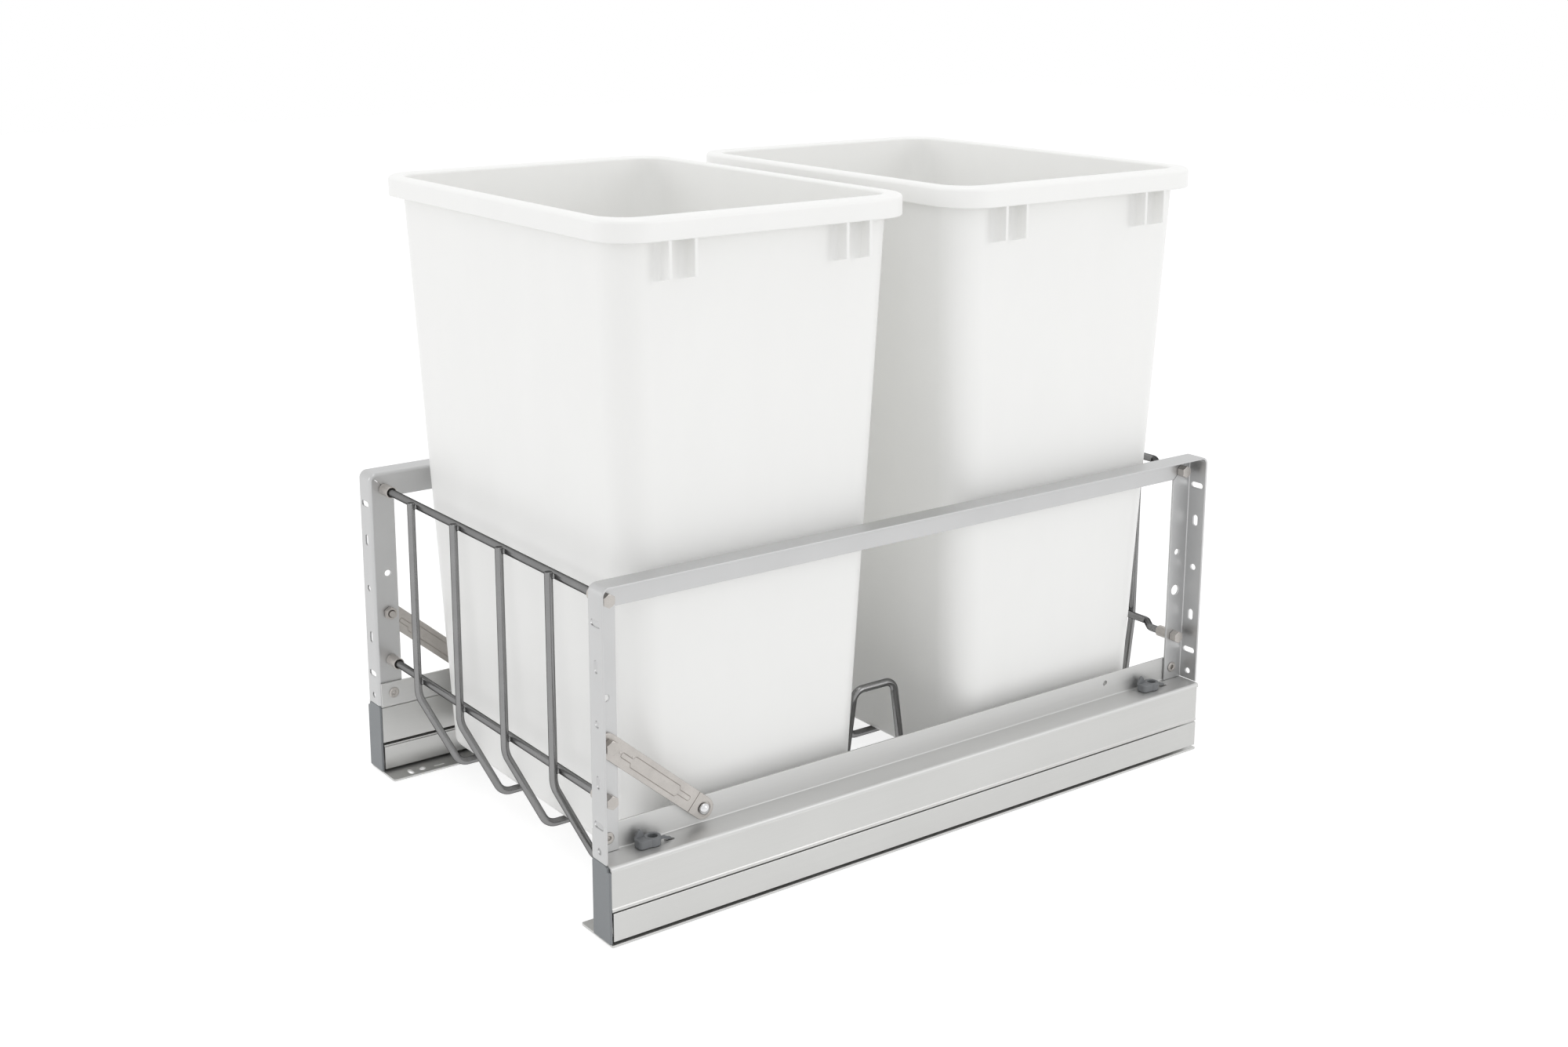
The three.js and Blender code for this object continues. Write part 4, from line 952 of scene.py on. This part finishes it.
def brace_rivet():
    """A polished dome outside, a spacer behind the brace and a clinched foot inside."""
    inside = UPSTAND_IN - GAP
    out = BRACE_OUT + GAP
    turns = [math.radians(t) for t in range(0, 90, 9)]
    dome = [(out + RIVET_RISE * math.sin(t), RIVET_HEAD_R * math.cos(t)) for t in turns]
    profile = [(inside - 0.8, 0), (inside - 0.8, 3.6), (inside - 0.4, 4.1), (inside, RIVET_HEAD_R)]
    profile += [(inside, SHANK_R), (UPSTAND_OUT + GAP, SHANK_R), (UPSTAND_OUT + GAP, RIVET_HEAD_R)]
    profile += [(BRACE_IN - GAP, RIVET_HEAD_R), (BRACE_IN - GAP, SHANK_R), (out - 0.5, SHANK_R)]
    profile += [(out - 0.5, RIVET_HEAD_R - 0.3)] + dome + [(out + RIVET_RISE, 0)]
    return turned(profile, BRACE_RIVET)


def post_rivet():
    """A hollow rivet through a post's web and the upstand, on the hardware line at y 0."""
    inside = UPSTAND_IN - GAP
    outside = WEB_X + SHEET + GAP
    profile = [(inside - 0.5, 1.6), (inside - 0.8, 2.0), (inside - 0.8, 3.4), (inside - 0.4, 4.0)]
    profile += [(inside, RIVET_HEAD_R), (inside, SHANK_R), (outside, SHANK_R), (outside, RIVET_HEAD_R)]
    profile += [(outside + 0.4, 4.0), (outside + 0.8, 3.4), (outside + 0.8, 2.0), (outside + 0.5, 1.6)]
    return turned(profile, (0, POST_RIVET_Z))


def collar():
    """A turned sleeve on a bar's end, on the hardware line at y 0, z 0."""
    low, high = COLLAR_LOW.x, COLLAR_HIGH.x
    radius = (COLLAR_HIGH.z - COLLAR_LOW.z) / 2
    step = BAR_HIGH.x + GAP
    profile = [(low + 1.2, WIRE_R + 0.2), (low, WIRE_R + 0.9), (low, radius - 0.3), (low + 0.3, radius)]
    profile += [(high - 1.4, radius), (high - 1.2, radius - 0.3), (high - 0.9, radius - 0.3)]
    profile += [(high - 0.7, radius), (high - 0.3, radius), (high, radius - 0.3)]
    profile += [(high, SHANK_R + 0.2), (step, SHANK_R + 0.2), (step, WIRE_R + 0.2)]
    return turned(profile)


# ---- cradle ----
REAR_BAR_Y = REAR_BAR_HIGH.y - MIDDLE_Y - WIRE_R
STEP_OUT, STEP_IN, STEP_BEND = 137.0, 124.0, 7.0
STAND_OFF = 2 * WIRE_R + GAP
WIRE_FRONT = -HARDWARE_Y - STAND_OFF
WIRE_REAR = REAR_BAR_Y + STAND_OFF
WIRE_TOP = WIRE_HIGH.z
FLOOR_Z = WIRE_LOW.z + WIRE_R
WIRE_X = [-101.5, -33.8, 33.8, 101.5]
BASKET_MID = (BIN_LOW.y + REAR_BIN_HIGH.y) / 2 - MIDDLE_Y
HOOP_TOP, HOOP_HALF_TOP, HOOP_HALF_FOOT = 92.0, 19.0, 29.7
FRONT_SLOPE, REAR_SLOPE = (-241.5, 84.0), (276.0, 88.0)  # (y at its foot, height of its top)
SLOPE_BEND, FOOT_BEND, HOOP_BEND = 24.0, 12.0, 9.0
BEAD_R, BEAD_LONG, BEAD_TIP = 2.0, 2.6, 3.0  # radius, half length of the oval and of its points


def front_bar():
    return wire(bent([(-BAR_HIGH.x, 0, 0), (BAR_HIGH.x, 0, 0)], []), (0, 0, 1))


def rear_bar():
    """The rear bars' middle stretch lies behind their ends."""
    back = REAR_BAR_Y - HARDWARE_Y
    right = [(STEP_IN, back, 0), (STEP_OUT, 0, 0), (BAR_HIGH.x, 0, 0)]
    left = [(-x, y, z) for x, y, z in reversed(right)]
    return wire(bent(left + right, [STEP_BEND] * 4), (0, 0, 1))


def weld_bead(y, z):
    """A small lens of weld in the corner between a wire and a bar."""
    profile = [(-BEAD_TIP, 0)] + oval(BEAD_LONG, BEAD_R, 8)[1:-1] + [(BEAD_TIP, 0)]
    return turned(profile, (y, z), sides=14)


def long_wire():
    """Down the front, under the bin, over the hoop, under the other bin and up the rear."""
    left, right = BASKET_MID - HOOP_HALF_FOOT, BASKET_MID + HOOP_HALF_FOOT
    route = [(WIRE_FRONT, WIRE_TOP), (WIRE_FRONT, FRONT_SLOPE[1]), (FRONT_SLOPE[0], FLOOR_Z)]
    route += [(left, FLOOR_Z), (BASKET_MID - HOOP_HALF_TOP, HOOP_TOP)]
    route += [(BASKET_MID + HOOP_HALF_TOP, HOOP_TOP), (right, FLOOR_Z)]
    route += [(REAR_SLOPE[0], FLOOR_Z), (WIRE_REAR, REAR_SLOPE[1]), (WIRE_REAR, WIRE_TOP)]
    bends = [SLOPE_BEND, FOOT_BEND] + [HOOP_BEND] * 4 + [FOOT_BEND, SLOPE_BEND]
    body = wire(bent([(0, y, z) for y, z in route], bends), (1, 0, 0))
    beads = []
    for y in (WIRE_FRONT + STAND_OFF / 2, WIRE_REAR - STAND_OFF / 2):
        beads += [weld_bead(y, z) for z in (TOP_BAR_Z, LOW_BAR_Z)]
    return joined(body, *beads)


# ---- bins ----
BIN_BOTTOM, BIN_TOP = BIN_LOW.z, BIN_HIGH.z
BIN_CENTRES = {
    "front_bin": (BIN_LOW.y + BIN_HIGH.y) / 2 - MIDDLE_Y,
    "rear_bin": (REAR_BIN_LOW.y + REAR_BIN_HIGH.y) / 2 - MIDDLE_Y,
}
RIM_HALF = ((BIN_HIGH.x - BIN_LOW.x) / 2, (BIN_HIGH.y - BIN_LOW.y) / 2)
RIM_HEIGHT = 15.0
RIM_CORNER = 30.0
RIM_ROUND = 3.2
RIM_FILLET = 1.2
WALL_TOP_HALF = (155.6, 115.6)
WALL_FOOT_HALF = (143.0, 94.6)
WALL_CORNER = 24.0
WALL = 2.2
BIN_FLOOR = 2.6
FOOT_ROUND = 7.0
CORNER_STEPS = 12
GUSSET_Y = (-80.6, -61.0, 61.0, 80.6)
GUSSET_HALF = 1.25
GUSSET_FILLET = 4.0
GUSSET_TIP = 0.6  # its distance inside the rim, and its round
GUSSET_DROP = 27.0
GUSSET_RISE = 3.0


def bin_ring(half_x, half_y, radius, z):
    """A rounded rectangle at a height."""
    ring = []
    for quarter, (sx, sy) in enumerate([(1, 1), (-1, 1), (-1, -1), (1, -1)]):
        centre = Vector((sx * (half_x - radius), sy * (half_y - radius)))
        ring += arc(centre, radius, 90 * quarter, 90 * quarter + 90, CORNER_STEPS)
    return [(point.x, point.y, z) for point in ring]


def wall_half(z):
    """Half width and half depth of the outer wall at a height."""
    share = (z - BIN_BOTTOM) / (BIN_TOP - BIN_BOTTOM)
    return [foot + share * (top - foot) for foot, top in zip(WALL_FOOT_HALF, WALL_TOP_HALF)]


def wall_ring(z, depth):
    half_x, half_y = [half - depth for half in wall_half(z)]
    return bin_ring(half_x, half_y, max(WALL_CORNER - depth, 4), z)


def rim_ring(z, depth):
    return bin_ring(RIM_HALF[0] - depth, RIM_HALF[1] - depth, RIM_CORNER - depth, z)


def quarter_turns(steps):
    return [math.pi / 2 * k / steps for k in range(steps + 1)]


def bin_shell():
    """Outside from the foot up, under and over the rim band, and down the inside."""
    rings = []
    for turn in quarter_turns(5):
        lift, depth = FOOT_ROUND * (1 - math.cos(turn)), FOOT_ROUND * (1 - math.sin(turn))
        rings.append(wall_ring(BIN_BOTTOM + lift, depth))
    rings.append(wall_ring(BIN_TOP - WALL - 2, 0))
    rings.append(wall_ring(BIN_TOP - WALL, -RIM_FILLET))
    rings.append(rim_ring(BIN_TOP - WALL, WALL + RIM_FILLET))
    rings.append(rim_ring(BIN_TOP - WALL - RIM_FILLET, WALL))
    low = BIN_TOP - RIM_HEIGHT
    lip = WALL / 2
    for turn in [math.pi * k / 6 for k in range(7)]:
        rings.append(rim_ring(low + lip - lip * math.sin(turn), lip + lip * math.cos(turn)))
    for turn in quarter_turns(5):
        rise, depth = RIM_ROUND * math.sin(turn), RIM_ROUND * (1 - math.cos(turn))
        rings.append(rim_ring(BIN_TOP - RIM_ROUND + rise, depth))
    for turn in quarter_turns(4):
        drop, depth = WALL * (1 - math.cos(turn)), WALL * math.sin(turn)
        rings.append(wall_ring(BIN_TOP - drop, depth))
    floor = BIN_BOTTOM + BIN_FLOOR
    for turn in quarter_turns(5):
        lift, depth = FOOT_ROUND * (1 - math.sin(turn)), FOOT_ROUND * (1 - math.cos(turn))
        rings.append(wall_ring(floor + lift, WALL + depth))
    return loft(rings)


def gusset_ring(z, rise):
    """A gusset's section at a height on the +X side: a fin that flares into the wall."""
    wall = wall_half(z)[0]
    tip = RIM_HALF[0] - GUSSET_TIP
    fillet = GUSSET_FILLET
    flare = arc(Vector((wall + fillet, -GUSSET_HALF - fillet)), fillet, 180, 90, 6)
    lower = [Vector((wall - 1, -GUSSET_HALF - fillet))] + flare
    centre = Vector((tip - GUSSET_TIP, -GUSSET_HALF + GUSSET_TIP))
    lower += arc(centre, GUSSET_TIP, -90, 0, 3)
    upper = [Vector((point.x, -point.y)) for point in reversed(lower)]
    return [(p.x, p.y, z + rise * max(0, p.x - wall) / (tip - wall)) for p in lower + upper]


def gusset():
    """One gusset on the +X side at y 0, its foot climbing on its way out."""
    foot = BIN_TOP - RIM_HEIGHT - GUSSET_DROP
    top = BIN_TOP - WALL / 2
    return loft([gusset_ring(foot, GUSSET_RISE), gusset_ring(foot + 6, 0), gusset_ring(top, 0)])


def bin_body():
    parts = []
    for y in GUSSET_Y:
        for turn in (0, math.pi):
            fin = gusset()
            fin.transform(Matrix.Rotation(turn, 4, "Z") @ Matrix.Translation((0, y, 0)))
            parts.append(fin)
    return merged([bin_shell()] + parts)


# ---- the whole unit ----
def side_pieces():
    """The shape and the finish of each piece that a side has once."""
    brace_tip = box_mm("right_brace_bolt")[0].x
    return {
        "foot_rail": (foot_rail(), SLIDE_STEEL),
        "lower_ball_cage": (ball_cage(*LOWER_CAGE), BALL_STEEL),
        "middle_member": (middle_member(), SLIDE_STEEL),
        "upper_ball_cage": (ball_cage(*UPPER_CAGE), BALL_STEEL),
        "top_member": (top_member(), SLIDE_STEEL),
        "end_cap": (end_cap(), CAP_PLASTIC),
        "soft_close_damper": (damper(), LEVER_PLASTIC),
        "base_rail": (base_rail(), RAIL_SHEET),
        "side_frame": (side_frame(), ALUMINIUM),
        "brace": (brace(), NICKEL),
        "brace_bolt": (bolt(BRACE_OUT + GAP, BRACE_HEX, BRACE_BOLT, brace_tip), NICKEL),
        "brace_nut": (brace_nut(), NICKEL),
        "brace_rivet": (brace_rivet(), POLISHED),
    }


def end_shapes():
    """The shapes that a side has at both of its ends, drawn at y 0."""
    return {
        "rivet": post_rivet(),
        "lever": release_lever(),
        "collar": collar(),
        "bolt": bolt(WEB_X + SHEET + GAP, BAR_HEX, (0, 0), BOLT_LOW.x),
    }


def dress_side(side, pieces, shapes):
    """All the pieces of one side."""
    for name, (shape, finish) in pieces.items():
        dress(f"{side}_{name}", shape, finish, side)
    for end, sign in (("front", -1), ("rear", 1)):
        y = sign * HARDWARE_Y
        dress(f"{side}_{end}_post_rivet", shapes["rivet"], NICKEL, side, (0, y, 0))
        pivot = sign * LEVER_Y
        dress(f"{side}_{end}_release_lever", shapes["lever"], LEVER_PLASTIC, side, (0, pivot, 0))
        for level, z in (("top", TOP_BAR_Z), ("lower", LOW_BAR_Z)):
            dress(f"{side}_{end}_{level}_collar", shapes["collar"], NICKEL, side, (0, y, z))
            dress(f"{side}_{end}_{level}_bolt", shapes["bolt"], NICKEL, side, (0, y, z))


def dress_cradle():
    """Cross bars and long wires."""
    front, rear = front_bar(), rear_bar()
    for level, z in (("top", TOP_BAR_Z), ("lower", LOW_BAR_Z)):
        dress(f"front_{level}_bar", front, DARK_WIRE, at=(0, -HARDWARE_Y, z))
        dress(f"rear_{level}_bar", rear, DARK_WIRE, at=(0, HARDWARE_Y, z))
    lengthwise = long_wire()
    for k, x in enumerate(WIRE_X, start=1):
        dress(f"long_wire_{k}", lengthwise, DARK_WIRE, at=(x, 0, 0))


def dress_bins():
    shape = bin_body()
    for node, y in BIN_CENTRES.items():
        dress(node, shape, BIN_PLASTIC, at=(0, y, 0))


# ---- stage ----
FLOOR_SIZE = 12.0
FLOOR_DROP = 0.0005
FLOOR_MATT, FLOOR_THIN, FLOOR_GLOW = 0.92, 0.35, 0.8


def seen_directly(tree):
    """1 for rays from the camera and for mirrored or refracted ones, 0 for the rest."""
    path = tree.nodes.new("ShaderNodeLightPath")
    seen = path.outputs["Is Camera Ray"]
    for ray in ("Is Glossy Ray", "Is Transmission Ray"):
        either = tree.nodes.new("ShaderNodeMath")
        either.operation = "MAXIMUM"
        tree.links.new(seen, either.inputs[0])
        tree.links.new(path.outputs[ray], either.inputs[1])
        seen = either.outputs[0]
    return seen


def diffuse(tree, tone):
    """A matt grey shader."""
    node = tree.nodes.new("ShaderNodeBsdfDiffuse")
    node.inputs["Color"].default_value = (tone, tone, tone, 1)
    return node.outputs[0]


def floor_material():
    """A pale floor that looks white and still takes the unit's shadow."""
    material = bpy.data.materials.new("pale_floor")
    material.use_nodes = True
    tree = material.node_tree
    tree.nodes.clear()
    glow = tree.nodes.new("ShaderNodeEmission")
    glow.inputs["Strength"].default_value = FLOOR_GLOW
    lit = tree.nodes.new("ShaderNodeAddShader")
    tree.links.new(diffuse(tree, FLOOR_THIN), lit.inputs[0])
    tree.links.new(glow.outputs[0], lit.inputs[1])
    mix = tree.nodes.new("ShaderNodeMixShader")
    tree.links.new(seen_directly(tree), mix.inputs[0])
    tree.links.new(diffuse(tree, FLOOR_MATT), mix.inputs[1])
    tree.links.new(lit.outputs[0], mix.inputs[2])
    out = tree.nodes.new("ShaderNodeOutputMaterial")
    tree.links.new(mix.outputs[0], out.inputs["Surface"])
    return material


def build_floor():
    half = FLOOR_SIZE / 2
    mesh = bpy.data.meshes.new("floor")
    corners = [(-half, -half, 0), (half, -half, 0), (half, half, 0), (-half, half, 0)]
    mesh.from_pydata(corners, [], [(0, 1, 2, 3)])
    mesh.materials.append(floor_material())
    floor = in_scene("floor", mesh)
    floor.location.z = -FLOOR_DROP


AMBIENT = 0.83


def build_world():
    """White to the camera and to mirrors, and a plain grey light for everything else."""
    world = bpy.data.worlds.new("studio")
    world.use_nodes = True
    tree = world.node_tree
    background = tree.nodes["Background"]
    mix = tree.nodes.new("ShaderNodeMix")
    mix.inputs["A"].default_value = AMBIENT
    mix.inputs["B"].default_value = 1.0
    tree.links.new(seen_directly(tree), mix.inputs["Factor"])
    tree.links.new(mix.outputs["Result"], background.inputs["Strength"])
    background.inputs["Color"].default_value = (1, 1, 1, 1)
    bpy.context.scene.world = world


def add_lamp(name, place, size, power):
    """A soft square lamp that faces the middle of the unit."""
    data = bpy.data.lights.new(name, "AREA")
    data.shape = "SQUARE"
    data.size = size
    data.energy = power
    lamp = in_scene(name, data)
    lamp.location = place
    aim = LAMP_AIM - Vector(place)
    lamp.rotation_euler = aim.to_track_quat("-Z", "Y").to_euler()


LAMP_AIM = Vector((0, 0, 0.2))
LAMPS = [  # name, place, size, power
    ("lamp_front", (-1.3, -2.6, 1.0), 0.9, 8),
    ("lamp_right", (2.6, 1.3, 1.0), 0.9, 8),
    ("lamp_top", (0.3, -0.1, 2.8), 1.2, 9),
]


CAMERA_DOWN, CAMERA_TURN = 12.89, 54.03  # degrees below level, and round from the front


def build_camera():
    """The photograph's viewpoint, with less lens shift and more tilt, to keep other views in frame."""
    data = bpy.data.cameras.new("camera")
    data.sensor_width = 36
    data.lens = 44.80
    data.shift_x = 0.0158
    data.shift_y = -0.0800
    camera = in_scene("camera", data)
    camera.location = (1.1771, -0.8864, 0.6339)
    camera.rotation_euler = (math.radians(90 - CAMERA_DOWN), 0, math.radians(CAMERA_TURN))
    bpy.context.scene.camera = camera


WHITE_BOUNCES = 12  # so that light reaches the depth of the white bins


def build_stage():
    build_floor()
    build_world()
    for lamp in LAMPS:
        add_lamp(*lamp)
    build_camera()
    bpy.context.scene.view_settings.view_transform = "Standard"
    bpy.context.scene.cycles.diffuse_bounces = WHITE_BOUNCES


pieces, shapes = side_pieces(), end_shapes()
dress_side("right", pieces, shapes)
dress_side("left", pieces, shapes)
dress_cradle()
dress_bins()
build_stage()
